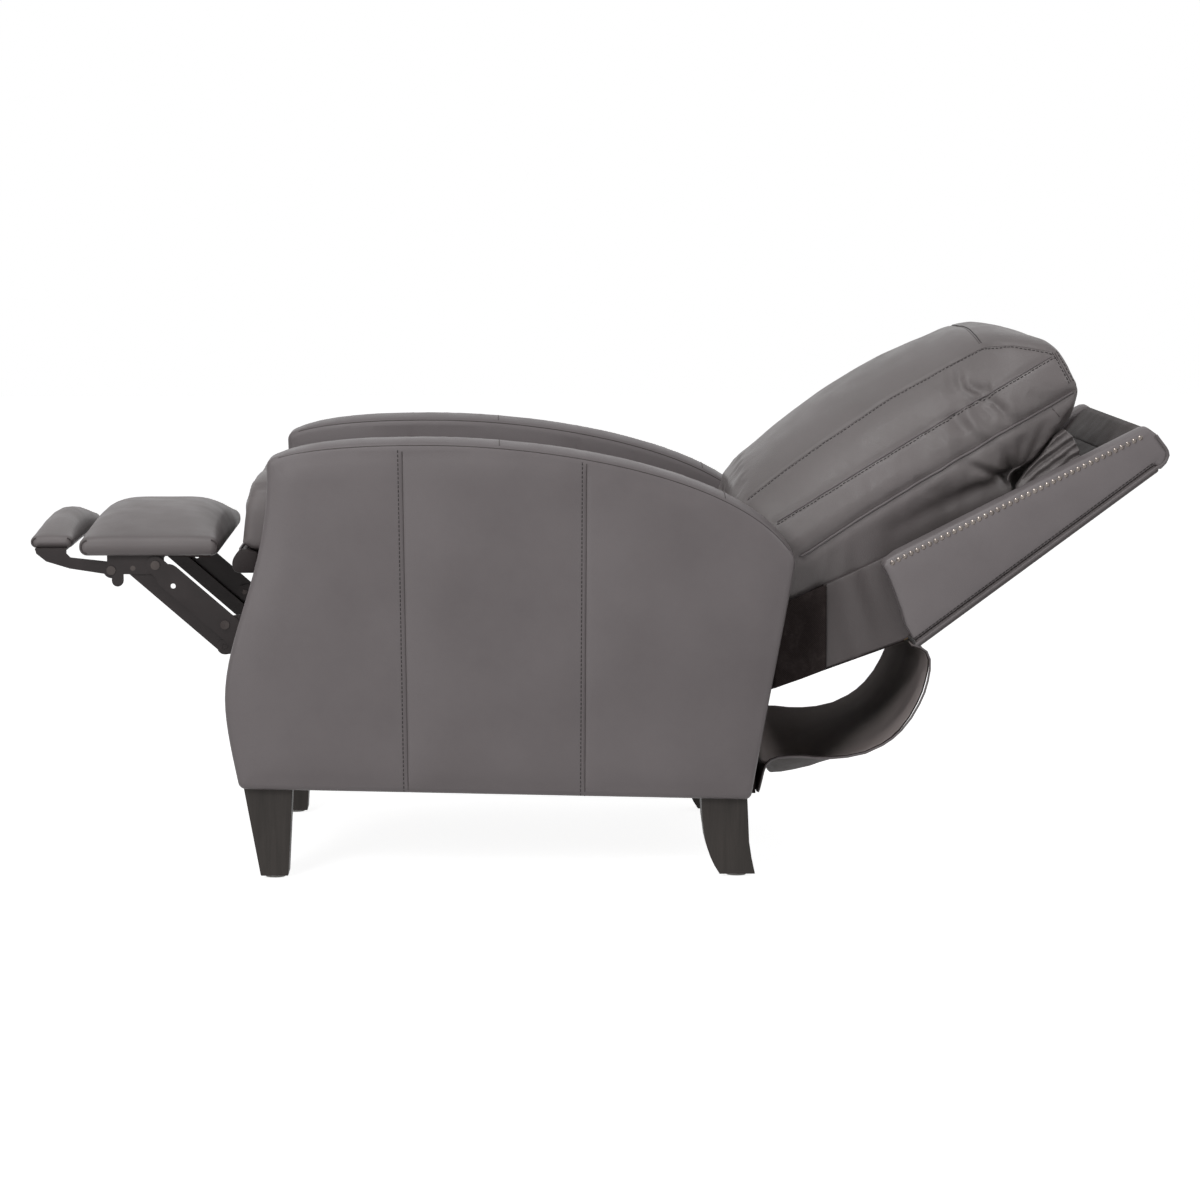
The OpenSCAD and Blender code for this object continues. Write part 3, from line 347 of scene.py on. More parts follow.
# %% Woven cloth and napped hide
def woven(name, dark, light, threads):
    """Two sets of threads, one across the chair and one on the diagonal, with a little fluff."""
    material, tree, shader = blank_material(name)
    place = own_space(tree)
    across, along = (add_node(tree, "TexWave", [("Vector", place), ("Scale", threads)], bands_direction=way)
                     for way in ("X", "DIAGONAL"))
    weave = add_node(tree, "Math", [(0, across.outputs["Fac"]), (1, along.outputs["Fac"])], operation="MAXIMUM")
    fluff = noise_in(tree, place, 240.0, 4.0)
    height = add_node(tree, "Math", [(0, fluff), (1, weave.outputs[0])], operation="MULTIPLY").outputs[0]
    finish_shader(tree, shader, height, dark, light, (0.6, 0.0005, height))
    shader.inputs["Roughness"].default_value = 0.92
    shader.inputs["Specular IOR Level"].default_value = 0.15
    return material


DUST_CLOTH = woven("black dust cloth", (46, 39, 38), (76, 68, 67), 190.0)
WEBBING = woven("elastic webbing", (44, 44, 48), (66, 66, 70), 150.0)
# The raw hide is painted lighter than its own colour: painted light, because the flap's inner face lies in the chair's
# shade.
SUEDE_PAINTED_LIGHT = leather("raw hide, painted light", (136, 127, 125), (160, 151, 149), roughness=0.9, pores=700.0, crease=1.2, relief=0.001,
                specular=DULL)
print("cloths and hide:", DUST_CLOTH.name, WEBBING.name, SUEDE_PAINTED_LIGHT.name)

# %% Give each carried-over hard piece its finish
FINISH_OF_SLOT = {
    "frame_wood": FRAME_TIMBER,
    "leg_wood": LEG_WOOD,
    "glide_nylon": NYLON,
    "strap_webbing": WEBBING,
    "mechanism_steel": ENAMEL,
    "rivet_steel": RIVET_STEEL,
    "bolt_steel": BOLT_STEEL,
    "spring_steel": SPRING_STEEL,
    "nail_nickel": NICKEL,
    "dust_fabric": DUST_CLOTH,
    "arm_leather": ARM_LEATHER,
    "back_leather": BACK_LEATHER,
    "wing_leather": BACK_LEATHER,
    "cushion_leather": SEAT_LEATHER,
    "roll_leather": ROLL_SHADED_LEATHER,
    "footrest_leather": FOOTREST_LEATHER,
    "flap_suede": SUEDE_PAINTED_LIGHT,
}
CROSS_RAILS = ("base_front_rail", "base_rear_rail", "back_top_rail", "back_bottom_rail", "seat_front_rail",
               "seat_rear_rail")
SLOT_OF_NODE = {part["node"]: part["material_slot"] for part in frame["record"]["subparts"]}
BODY_OF_NODE = {node: body for body, nodes in frame["record"]["behaviour"]["bodies"].items() for node in nodes}


def paint(piece, material):
    if not piece.material_slots:
        piece.data.materials.append(material)
    for slot in piece.material_slots:
        slot.material = material


for node_name, piece in frame["nodes"].items():
    paint(piece, RAIL_TIMBER if node_name in CROSS_RAILS else FINISH_OF_SLOT[SLOT_OF_NODE[node_name]])
print("finishes given to", len(frame["nodes"]), "carried-over pieces")

# %% [markdown]
# ## Tools of the upholsterer
# A panel starts as an outline in the side view, pulled across the chair and rounded at its rims.
# It is cut into an even net by planes, because only points of the net can move, and then each point
# is moved: out where the padding swells, in where a seam draws the leather down.

# %% Outlines and rounding
MM = 0.001


def in_metres(points):
    return [(y * MM, z * MM) for y, z in points]


def clamped(value):
    return min(1.0, max(0.0, value))


def curve_points(a, b, c, d, count):
    """A cubic curve in the side view from a to d, without its last point."""
    points = []
    for step in range(count):
        t = step / count
        s = 1 - t
        points.append(tuple(s * s * s * a[k] + 3 * s * s * t * b[k] + 3 * s * t * t * c[k] + t * t * t * d[k]
                            for k in range(2)))
    return points


def pulled_outline(outline, x_low, x_high):
    """A closed bmesh: the side outline, [y, z] in metres, pulled from x_low to x_high."""
    bm = bmesh.new()
    face = bm.faces.new([bm.verts.new((x_low, y, z)) for y, z in outline])
    grown = bmesh.ops.extrude_face_region(bm, geom=[face])["geom"]
    moved = [item for item in grown if isinstance(item, bmesh.types.BMVert)]
    bmesh.ops.translate(bm, verts=moved, vec=(x_high - x_low, 0, 0))
    bmesh.ops.recalc_face_normals(bm, faces=bm.faces)
    return bm


def round_edges(bm, width, segments, sharper_than=35):
    """Rounds every edge whose faces meet at more than the given angle."""
    edges = [edge for edge in bm.edges if edge.calc_face_angle(0) > math.radians(sharper_than)]
    bmesh.ops.bevel(bm, geom=edges, offset=width, offset_type="OFFSET", affect="EDGES", segments=segments,
                    profile=0.5, material=-1, clamp_overlap=True)


print("one millimetre is", MM, "of a metre")

# %% Cutting a net
def cut_at(bm, axis, places):
    """Cuts a bmesh by planes square to an axis, 0 to 2, at each place."""
    normal = Vector((0, 0, 0))
    normal[axis] = 1
    for place in places:
        bmesh.ops.bisect_plane(bm, geom=bm.verts[:] + bm.edges[:] + bm.faces[:], dist=1e-6,
                               plane_co=normal * place, plane_no=normal)


def cut_net(bm, axis, low, high, pitch):
    """Cuts a bmesh at even steps of about the pitch, half a step in from either end."""
    count = max(1, round((high - low) / pitch))
    cut_at(bm, axis, [low + (high - low) * (step + 0.5) / count for step in range(count)])


def to_side(bm, side):
    """Every side piece is made at positive x; this turns it into the one of the other side."""
    if side < 0:
        bmesh.ops.scale(bm, vec=(-1, 1, 1), verts=bm.verts)


print("nets are cut on axes 0, 1 and 2: across, along and up")

# %% Finished pieces
def finished(name, bm, body, slot_name, *materials):
    """Makes the bmesh an object that rides on a body, or on none, smooth-shaded, with its finish."""
    mesh = bpy.data.meshes.new(name)
    bmesh.ops.recalc_face_normals(bm, faces=bm.faces)
    bm.to_mesh(mesh)
    bm.free()
    mesh.shade_smooth()
    for material in materials:
        mesh.materials.append(material)
    piece = bpy.data.objects.new(name, mesh)
    bpy.context.scene.collection.objects.link(piece)
    if body:
        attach(piece, body)
    return piece


def applied(piece):
    """The piece's modifiers made part of its mesh."""
    graph = bpy.context.evaluated_depsgraph_get()
    mesh = bpy.data.meshes.new_from_object(piece.evaluated_get(graph))
    piece.modifiers.clear()
    piece.data = mesh
    mesh.shade_smooth()
    return piece


def copied_node(node_name):
    """A bmesh copy of a CAD node, with its loose triangles merged."""
    bm = bmesh.new()
    bm.from_mesh(frame["nodes"][node_name].data)
    bmesh.ops.remove_doubles(bm, verts=bm.verts, dist=2e-5)
    return bm


def softened(node_name, width):
    """A copy of a rigid node with its edges eased, which takes the node's place."""
    bm = copied_node(node_name)
    bmesh.ops.dissolve_limit(bm, angle_limit=math.radians(4), verts=bm.verts, edges=bm.edges)
    round_edges(bm, width, 3, 28)
    material = frame["nodes"][node_name].material_slots[0].material
    piece = finished(node_name + "_eased", bm, BODY_OF_NODE[node_name], SLOT_OF_NODE[node_name], material)
    piece.modifiers.new("Flat faces stay flat", "WEIGHTED_NORMAL").keep_sharp = True
    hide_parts(node_name)
    return piece


print("ready to copy", len(SLOT_OF_NODE), "pieces of the frame")

# %% Lines on a skin
def spaced(points, pitch):
    """Points at even steps along a path, each with its direction."""
    points = [Vector(point) for point in points]
    out = []
    ahead = 0.0
    for start, end in zip(points, points[1:]):
        length = (end - start).length
        if length < 1e-9:
            continue
        direction = (end - start) / length
        while ahead <= length:
            out.append((start + direction * ahead, direction))
            ahead += pitch
        ahead -= length
    return out


def surface_of(piece):
    return BVHTree.FromPolygons([v.co for v in piece.data.vertices], [p.vertices for p in piece.data.polygons])


def laid_on(surface, path, pitch, lift=0.0, sideways=0.0):
    """The path's points set on a skin: (place, direction, normal), moved beside the path if asked."""
    out = []
    for point, direction in spaced(path, pitch):
        place, normal, _, _ = surface.find_nearest(point)
        if sideways:
            beside = direction.cross(normal).normalized()
            place, normal, _, _ = surface.find_nearest(place + beside * sideways)
        out.append((place + normal * lift, direction, normal))
    return out


def eased_line(points, passes=2):
    """A line without its small wiggles: each point moves halfway to the middle of its neighbours."""
    points = [point.copy() for point in points]
    for _ in range(passes):
        middles = [(before + after) / 2 for before, after in zip(points, points[2:])]
        points[1:-1] = [(point + middle) / 2 for point, middle in zip(points[1:-1], middles)]
    return points


print("a path of 1 m has", len(spaced([(0, 0, 0), (1, 0, 0)], 0.1)), "points at steps of 0.1 m")

# %% Cords and stitches
def cord_along(name, points, radius, body, slot_name, material):
    """A thin round cord through the points, as a mesh."""
    curve = bpy.data.curves.new(name, "CURVE")
    curve.dimensions = "3D"
    curve.bevel_depth = radius
    curve.bevel_resolution = 3
    curve.use_fill_caps = True
    spline = curve.splines.new("POLY")
    spline.points.add(len(points) - 1)
    for mark, point in zip(spline.points, points):
        mark.co = (*point, 1)
    holder = bpy.data.objects.new(name, curve)
    bpy.context.scene.collection.objects.link(holder)
    graph = bpy.context.evaluated_depsgraph_get()
    mesh = bpy.data.meshes.new_from_object(holder.evaluated_get(graph))
    bpy.data.objects.remove(holder)
    bm = bmesh.new()
    bm.from_mesh(mesh)
    return finished(name, bm, body, slot_name, material)


STITCH_PITCH = 6.6 * MM
STITCH_LENGTH = 4.2 * MM
STITCH_RADIUS = 0.8 * MM


def stitches(name, marks, body, slot_name):
    """One short thread per mark, laid along the seam and half sunk in the leather."""
    bm = bmesh.new()
    for place, direction, normal in marks:
        along = (direction - normal * direction.dot(normal)).normalized()
        turn = along.to_track_quat("Z", "Y").to_matrix().to_4x4()
        bmesh.ops.create_cone(bm, cap_ends=True, segments=5, radius1=STITCH_RADIUS, radius2=STITCH_RADIUS,
                              depth=STITCH_LENGTH, matrix=Matrix.Translation(place) @ turn)
    return finished(name, bm, body, slot_name, THREAD)


def ripple(place, size, seed):
    """Smooth noise from -1 to 1 at a place, for padding that is never quite even."""
    return noise.noise(Vector(place) / size + Vector((seed, seed * 0.7, 0)))


print("stitches every", round(STITCH_PITCH / MM, 1), "mm")

# %% [markdown]
# ## Padded pieces
# A cushion is a closed form that is pumped up a little, as its foam fills the skin.
# The voxel remesh gives the even net that Blender's cloth needs, and a cap on how far each point
# may move keeps the cushion inside the room that the frame leaves for it.
# Seams are put in afterwards, because the remesh would lose them.

# %% Swelling a cushion
SWELL_FRAMES = 20


def swollen(piece, voxel, pressure, cap):
    """Remeshes a closed piece, swells it with cloth pressure, and adds one subdivision."""
    even = piece.modifiers.new("Even skin", "REMESH")
    even.mode = "VOXEL"
    even.voxel_size = voxel
    applied(piece)
    start = [vertex.co.copy() for vertex in piece.data.vertices]
    cloth = piece.modifiers.new("Swelling", "CLOTH")
    leather_like = {"quality": 5, "mass": 0.3, "tension_stiffness": 12, "compression_stiffness": 12,
                    "bending_stiffness": 0.8, "use_pressure": True, "uniform_pressure_force": pressure}
    for setting, value in leather_like.items():
        setattr(cloth.settings, setting, value)
    cloth.settings.effector_weights.gravity = 0
    cloth.collision_settings.use_collision = False
    cloth.collision_settings.use_self_collision = False
    cloth.point_cache.frame_start = 1
    cloth.point_cache.frame_end = SWELL_FRAMES
    for frame_number in range(1, SWELL_FRAMES + 1):
        bpy.context.scene.frame_set(frame_number)
    applied(piece)
    bpy.context.scene.frame_set(1)
    most = 0.0
    for vertex, place in zip(piece.data.vertices, start):
        moved = vertex.co - place
        most = max(most, moved.length)
        if moved.length > cap:
            vertex.co = place + moved.normalized() * cap
    print(piece.name, "swelled by", round(most / MM, 1), "mm at most, kept to", round(cap / MM, 1))
    finer = piece.modifiers.new("Finer skin", "SUBSURF")
    finer.levels = finer.render_levels = 1
    applied(piece)


print("a cushion swells for", SWELL_FRAMES, "frames")

# %% Drawing the skin in
def moved_points(piece, rule):
    """Moves every point of a finished mesh by a rule that is given its place and normal."""
    normals = [vertex.normal.copy() for vertex in piece.data.vertices]
    for vertex, normal in zip(piece.data.vertices, normals):
        vertex.co = rule(vertex.co.copy(), normal)
    piece.data.update()


def marks_tree(path, pitch=3 * MM):
    """A search tree of even marks along a path, with the number of marks."""
    marks = [point for point, _ in spaced(path, pitch)]
    tree = kdtree.KDTree(len(marks))
    for number, point in enumerate(marks):
        tree.insert(point, number)
    tree.balance()
    return tree, len(marks)


def even_depth(share):
    """A seam that is as deep from one end to the other."""
    return 1.0


def fading_depth(share):
    """A fold that dies away at both ends."""
    return max(0.0, math.sin(math.pi * share)) ** 0.7


def growing_depth(share):
    """A fold that starts from nothing and is deepest where it ends."""
    return share ** 0.8


def draw_in_all(piece, creases):
    """Draws the skin down, or up where the depth is negative, along many paths in one pass."""
    trees = [(*marks_tree(path), depth, width, fade) for path, depth, width, fade in creases]

    def rule(place, normal):
        push = 0.0
        for tree, count, depth, width, fade in trees:
            _, number, distance = tree.find(place)
            if distance < 3 * width:
                push += depth * fade(number / max(1, count - 1)) * math.exp(-((distance / width) ** 2))
        return place - normal * push
    moved_points(piece, rule)


print("a fold is", round(fading_depth(0.5), 2), "of its depth in the middle and", fading_depth(0.0), "at its start")

# %% [markdown]
# ## Drawing on the skin from where the camera stands
# Seams and folds are easiest to judge from the photograph's own place. So a line is given as it is
# seen from there, and rays carry it onto the skin.

# %% Lines seen by the camera
FRAME_SIDE = 1200
CAMERA_TURN = looking.to_track_quat("-Z", "Y")


def sight(px, py):
    """The direction in which the camera sees a point of the 1200 by 1200 frame."""
    half = SENSOR_MM / LENS_MM
    local = Vector(((px / FRAME_SIDE - 0.5) * half, (0.5 - py / FRAME_SIDE) * half, -1))
    return (CAMERA_TURN @ local).normalized()


def seen_on(surface, spots, fine=6):
    """A line drawn in the camera's frame, laid on the skin that the camera sees there."""
    dots = []
    for (ax, ay), (bx, by) in zip(spots, spots[1:]):
        count = max(1, round(math.hypot(bx - ax, by - ay) / fine))
        dots += [(ax + (bx - ax) * step / count, ay + (by - ay) * step / count) for step in range(count)]
    places = [surface.ray_cast(CAMERA_PLACE, sight(*dot))[0] for dot in dots + [spots[-1]]]
    return [place for place in places if place is not None]


def aimed(surface, x, points, fine=8 * MM):
    """A side-view line at width x, laid where the camera's line of sight to it meets the skin."""
    out = []
    for point, _ in spaced([(x, y, z) for y, z in in_metres(points)], fine):
        place, _, _, _ = surface.ray_cast(CAMERA_PLACE, (point - CAMERA_PLACE).normalized())
        if place is None:
            place, _, _, _ = surface.find_nearest(point)
        out.append(place)
    return out


def both_sides(surface, path):
    """A path and its mirror image, each laid on the skin."""
    mirror = [surface.find_nearest(Vector((-place.x, place.y, place.z)))[0] for place in path]
    return [path, mirror]


print("the camera's frame is", FRAME_SIDE, "dots on each side")

# %% [markdown]
# ## The arms
# Each arm is a timber box wrapped in leather. The outer side is three panels joined by two upright
# seams, each with a row of stitches in front of it. A separate padded strip covers the top, and the
# line where it meets the side runs along the whole crest.
# A remeshed, inflated form would lose the flat sides, so the arm is a pulled outline cut into a net.

# %% The arm's outline
def mirrored_box(node_name):
    """The box of whichever of a pair lies at positive x."""
    low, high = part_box(node_name)
    return (low, high) if low[0] > 0 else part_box(node_name.replace("left", "right"))


ARM_LOW, ARM_HIGH = mirrored_box("left_arm_cover")
ARM_IN = ARM_LOW[0]
ARM_OUT = ARM_HIGH[0]
ARM_FRONT_Y = ARM_LOW[1]
ARM_REAR_Y = ARM_HIGH[1]
ARM_BASE_FRONT = (ARM_FRONT_Y + 21 * MM, 141 * MM)
ARM_BASE_REAR = (ARM_REAR_Y - 67 * MM, 122 * MM)
ARM_TOP_Z = 662 * MM


def shifted(point, y, z):
    return (point[0] + y * MM, point[1] + z * MM)


ARM_CROWN = (ARM_FRONT_Y + 309 * MM, ARM_TOP_Z)
ARM_REAR_TOP = (ARM_REAR_Y, ARM_TOP_Z - 174 * MM)
ARM_FRONT_TOP = (ARM_FRONT_Y + 65 * MM, ARM_TOP_Z - 24 * MM)
ARM_BULGE = (ARM_FRONT_Y, ARM_BASE_FRONT[1] + 136 * MM)
ARM_TOP_CURVE = (
    curve_points(ARM_REAR_TOP, shifted(ARM_REAR_TOP, -75, 132), shifted(ARM_CROWN, 163, 0), ARM_CROWN, 26)
    + curve_points(ARM_CROWN, shifted(ARM_CROWN, -87, 1), shifted(ARM_FRONT_TOP, 47, 20), ARM_FRONT_TOP, 12)
    + [ARM_FRONT_TOP]
)
ARM_OUTLINE = (
    [ARM_BASE_FRONT]
    + curve_points(ARM_BASE_REAR, shifted(ARM_BASE_REAR, 22, 128), shifted(ARM_REAR_TOP, -18, -108), ARM_REAR_TOP, 12)
    + ARM_TOP_CURVE
    + curve_points(shifted(ARM_FRONT_TOP, 1, -28), shifted(ARM_FRONT_TOP, 0, -168), shifted(ARM_BULGE, 0, 98),
                   ARM_BULGE, 16)
    + curve_points(ARM_BULGE, shifted(ARM_BULGE, 0, -42), shifted(ARM_BASE_FRONT, -9, 44), ARM_BASE_FRONT, 8)
)
print("arm outline has", len(ARM_OUTLINE), "points")

# %% The arm's seams, swell and crest
ARM_SEAMS = [in_metres(seam) for seam in (((-293, 655), (-286, 133)), ((-16, 636), (-19, 127)))]
SEAM_MIDDLES = [(top[0] + base[0]) / 2 for top, base in ARM_SEAMS]
SEAM_REACH = (-9 * MM, -3.5 * MM, -1.2 * MM, 0.0, 1.2 * MM, 3.5 * MM, 9 * MM)
SEAM_LEAN_REACH = 20 * MM
SEAM_DEPTH = 1.3 * MM
SEAM_RIDGE = 0.9 * MM
ARM_ROUNDING = 9 * MM
ARM_INSET = 12 * MM
ARM_PITCH = 22 * MM
PANEL_SWELL = 4.8 * MM
# The inner face swells less, because the footrest folds in beside it
INNER_SHARE = 0.25
RIM_FLAT, RIM_FADE = 9 * MM, 24 * MM
TOP_SWELL = 9 * MM
TOP_REACH = 14 * MM


def whole_side(outline):
    """A side outline as a closed path on the chair's middle plane."""
    return [(0, y, z) for y, z in outline + outline[:1]]


CREST, CREST_COUNT = marks_tree([(0, y, z) for y, z in ARM_TOP_CURVE], 1.5 * MM)
ARM_RIM = marks_tree(whole_side(ARM_OUTLINE))[0]


def top_share(place):
    """How near a point lies to the crest line, and how far along it that is, from 0 to 1."""
    _, number, distance = CREST.find((0, place.y, place.z))
    return distance, number / (CREST_COUNT - 1)


def seam_lean(place):
    """How far the net leans at a place, because the upright seams lean a little."""
    lean = 0.0
    for (top, base), middle in zip(ARM_SEAMS, SEAM_MIDDLES):
        near = max(0.0, 1 - abs(place.y + lean - middle) / SEAM_LEAN_REACH)
        share = (place.z - base[1]) / (top[1] - base[1])
        lean += near * (base[0] + (top[0] - base[0]) * share - middle)
    return lean


def panel_swell(y):
    """How far the side stands out at a place: three swelled panels, and the seams between them."""
    out = 0.0
    edges = [ARM_FRONT_Y] + SEAM_MIDDLES + [ARM_REAR_Y]
    for low, high in zip(edges, edges[1:]):
        if low <= y <= high:
            out = PANEL_SWELL * (1 - abs(2 * (y - low) / (high - low) - 1) ** 5)
    for middle in SEAM_MIDDLES:
        gap = y - middle
        out -= SEAM_DEPTH * math.exp(-(gap / (1.6 * MM)) ** 2)
        out += SEAM_RIDGE * math.exp(-((gap + 5 * MM) / (4 * MM)) ** 2)
    return out


print("the arm's crest has", CREST_COUNT, "marks")

# %% Making both arms
def arm_skin(side, name):
    bm = pulled_outline(ARM_OUTLINE, ARM_IN, ARM_OUT)
    round_edges(bm, ARM_ROUNDING, 4)
    flats = [face for face in bm.faces if abs(face.normal.x) > 0.999 and face.calc_area() > 0.1]
    bmesh.ops.inset_individual(bm, faces=flats, thickness=ARM_INSET, use_even_offset=True)
    for middle in SEAM_MIDDLES:
        cut_at(bm, 1, [middle + reach for reach in SEAM_REACH])
    cut_net(bm, 1, ARM_FRONT_Y, ARM_REAR_Y, ARM_PITCH)
    cut_net(bm, 2, 120 * MM, ARM_TOP_Z, ARM_PITCH)
    cut_net(bm, 0, ARM_IN, ARM_OUT, 14 * MM)
    bm.normal_update()
    middle_x = (ARM_IN + ARM_OUT) / 2
    half = (ARM_OUT - ARM_IN) / 2
    moves = []
    for vertex in bm.verts:
        place = vertex.co.copy()
        place.y += seam_lean(place)
        out = Vector((0, 0, 0))
        across = abs(place.x - middle_x) / half
        if across > 0.999:
            outward = math.copysign(1, place.x - middle_x)
            out.x = panel_swell(vertex.co.y) * outward
            out.x += 1.1 * MM * ripple(place, 0.11, side) + 0.5 * MM * ripple(place, 0.03, side + 3)
            depth = clamped((ARM_RIM.find((0, place.y, place.z))[2] - RIM_FLAT) / RIM_FADE)
            out.x *= depth * depth * (3 - 2 * depth) * (1.0 if outward > 0 else INNER_SHARE)
        distance, share = top_share(place)
        if distance < TOP_REACH:
            swell = TOP_SWELL * max(0.0, 1 - across ** 2.6) * (1 - abs(2 * share - 1) ** 9)
            upward = Vector((0, vertex.normal.y, vertex.normal.z))
            if upward.length > 0.3:
                out += upward.normalized() * swell * max(0.0, 1 - distance / TOP_REACH)
        moves.append((vertex, place + out))
    for vertex, place in moves:
        vertex.co = place
    to_side(bm, side)
    return finished(name, bm, "base", "arm_leather", ARM_LEATHER)


ARM_NAMES = {1: "left", -1: "right"}
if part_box("left_arm_cover")[0][0] < 0:
    ARM_NAMES = {1: "right", -1: "left"}
arm_skins = {}
for side, hand in ARM_NAMES.items():
    skin = arm_skin(side, hand + "_arm_skin")
    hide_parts(hand + "_arm_cover", hand + "_arm_top")
    arm_skins[side] = skin
    print(skin.name, len(skin.data.polygons), "faces")

# %% Seams of the arm
TOP_CROSS_SEAMS = (-147 * MM, 193 * MM)
CREST_INSET = 3.2 * MM
STITCHES_BESIDE = -6.5


def on_side(points, side, x):
    return [Vector((side * x, y, z)) for y, z in points]


def on_outer_face(surface, side, points, pitch):
    """A side-view line laid on an arm's outer face: (place, direction, normal) at even steps."""
    out = []
    for point, direction in spaced(on_side(points, side, 2 * ARM_OUT), pitch):
        place, normal, _, _ = surface.ray_cast(point, Vector((-side, 0, 0)))
        if place is not None:
            out.append((place, direction, normal))
    return out


# The arm's cords take the dark seam leather: painted shade of the seam's groove.
def arm_cord(label, line, radius):
    cord_along(f"{hand}_arm_{label}", line, radius * MM, "base", "arm_leather", SEAM_SHADE_LEATHER)


for side, hand in ARM_NAMES.items():
    surface = surface_of(arm_skins[side])
    for face_x, label in ((ARM_OUT - CREST_INSET, "outer"), (ARM_IN + CREST_INSET, "inner")):
        crest_line = on_side([shifted(point, 0, -1.2) for point in ARM_TOP_CURVE[1:-1]], side, face_x)
        laid = [place for place, _, _ in laid_on(surface, crest_line, 8 * MM, lift=-0.3 * MM)]
        arm_cord(f"crest_{label}", eased_line(laid), 1.0)
    for number, (top, base) in enumerate(ARM_SEAMS):
        seam = on_outer_face(surface, side, [shifted(top, 0, -3), shifted(base, 0, 2)], 8 * MM)
        arm_cord(f"seam_{number}", [place for place, _, _ in seam], 0.8)
        row = on_outer_face(surface, side, [shifted(top, STITCHES_BESIDE, -3), shifted(base, STITCHES_BESIDE, 2)],
                            STITCH_PITCH)
        stitches(f"{hand}_arm_stitches_{number}", row, "base", "arm_leather")
    for number, y in enumerate(TOP_CROSS_SEAMS):
        across = [ARM_IN + (ARM_OUT - ARM_IN) * share / 12 for share in range(1, 12)]
        line = [surface.ray_cast(Vector((side * x, y, 1)), Vector((0, 0, -1)))[0] for x in across]
        arm_cord(f"cross_seam_{number}", line, 0.8)
    print(hand, "arm:", len(ARM_SEAMS), "upright seams and", len(TOP_CROSS_SEAMS), "cross seams")

# %% [markdown]
# ## The back cushion
# A loose cushion leans on the inside back. Its face is three long panels over a crown, with a plain
# seam, a ridged seam with stitches, and a welt at the border. The border is gathered, and near its
# top end the leather is drawn in to a point, so that folds run towards it.
# The side view gives the crown, and the height over the welt falls to the sides as an arch.

# %% The back's own frame, and the cushion in it
INSIDE_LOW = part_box("inside_back")[0]
BACK_SLOPE = math.radians(26.7)
BACK_START = (INSIDE_LOW.y, INSIDE_LOW.z + 9 * MM)
CUSHION_HALF = mirrored_box("left_arm_cover")[0].x - 7 * MM


def to_back(y, z):
    """Side-view place as (distance up the inside back, height over it), in metres."""
    along, up = y - BACK_START[0], z - BACK_START[1]
    return (along * math.cos(BACK_SLOPE) + up * math.sin(BACK_SLOPE),
            up * math.cos(BACK_SLOPE) - along * math.sin(BACK_SLOPE))


def from_back(u, v):
    return (BACK_START[0] + u * math.cos(BACK_SLOPE) - v * math.sin(BACK_SLOPE),
            BACK_START[1] + u * math.sin(BACK_SLOPE) + v * math.cos(BACK_SLOPE))


def back_places(points):
    return [from_back(u * MM, v * MM) for u, v in points]


# The underside and the end follow the inside back; the crown is given in the side view
CUSHION_PROFILE = back_places((
    (2, 1.5), (120, 1.5), (240, 1.5), (360, 1.5), (440, 1.5), (470, 6), (510, 18), (550, 36), (580, 52), (596, 80),
    (599, 112), (599, 150), (597, 178), (588, 197), (570, 212), (548, 229), (528, 243))) + in_metres((
        (600, 824), (564, 817), (516, 799), (470, 778), (421, 750), (372, 719), (325, 686), (290, 658), (254, 627),
        (222, 604), (208, 590), (205, 570), (218, 530), (240, 480), (256, 430)))


def border_height(u):
    """Height of the welt over the inside back, at a distance up it."""
    return (76 + 0.079 * (u / MM - 100)) * MM


BORDER_FOOT = ((440, 1.5), (460, 28), (496, 46), (518, 57), (538, 70), (560, 81), (580, 91), (599, 110))


def border_foot(u):
    """Height of the border's lower line at the cushion's sides, where it rises to the top corner."""
    for (u_low, v_low), (u_high, v_high) in zip(BORDER_FOOT, BORDER_FOOT[1:]):
        if u_low * MM <= u <= u_high * MM:
            return (v_low + (v_high - v_low) * (u / MM - u_low) / (u_high - u_low)) * MM
    return 0.0 if u < BORDER_FOOT[0][0] * MM else BORDER_FOOT[-1][1] * MM


print("cushion's outline has", len(CUSHION_PROFILE), "points")

# %% Shaping the back cushion
CUSHION_PITCH = 16 * MM
END_BEGINS, END_LENGTH = 440 * MM, 150 * MM
# Powers of the arch: a low one is round, a high one is boxy
ROUND_ARCH, BOXY_ARCH = 2.3, 13
FOOT_DROP = 0.13 * CUSHION_HALF
UNDER_TAPER = 0.11

cushion_bm = pulled_outline(CUSHION_PROFILE, -CUSHION_HALF, CUSHION_HALF)
cut_net(cushion_bm, 0, -CUSHION_HALF, CUSHION_HALF, 12 * MM)
cut_net(cushion_bm, 1, 205 * MM, 785 * MM, CUSHION_PITCH)
cut_net(cushion_bm, 2, 372 * MM, 826 * MM, CUSHION_PITCH)
for vertex in cushion_bm.verts:
    share = min(1.0, abs(vertex.co.x) / CUSHION_HALF)
    u, v = to_back(vertex.co.y, vertex.co.z)
    border = border_height(u)
    if v > border:
        # The arch is round over the crown and boxy towards the top end
        to_end = clamped((u - END_BEGINS) / END_LENGTH)
        v = border + (v - border) * max(0.02, 1 - share ** (ROUND_ARCH + BOXY_ARCH * to_end * to_end)) ** 0.5
    v = max(v, border_foot(u) - FOOT_DROP * (1 - share))
    vertex.co.y, vertex.co.z = from_back(u, v)
    under = max(0.0, 1 - v / border)
    vertex.co.x *= 1 - UNDER_TAPER * under ** 1.2
bmesh.ops.remove_doubles(cushion_bm, verts=cushion_bm.verts, dist=0.2 * MM)
back_cushion = finished("back_cushion_leather", cushion_bm, "back", "cushion_leather", PILLOW_LEATHER)
swollen(back_cushion, voxel=6 * MM, pressure=4, cap=5 * MM)


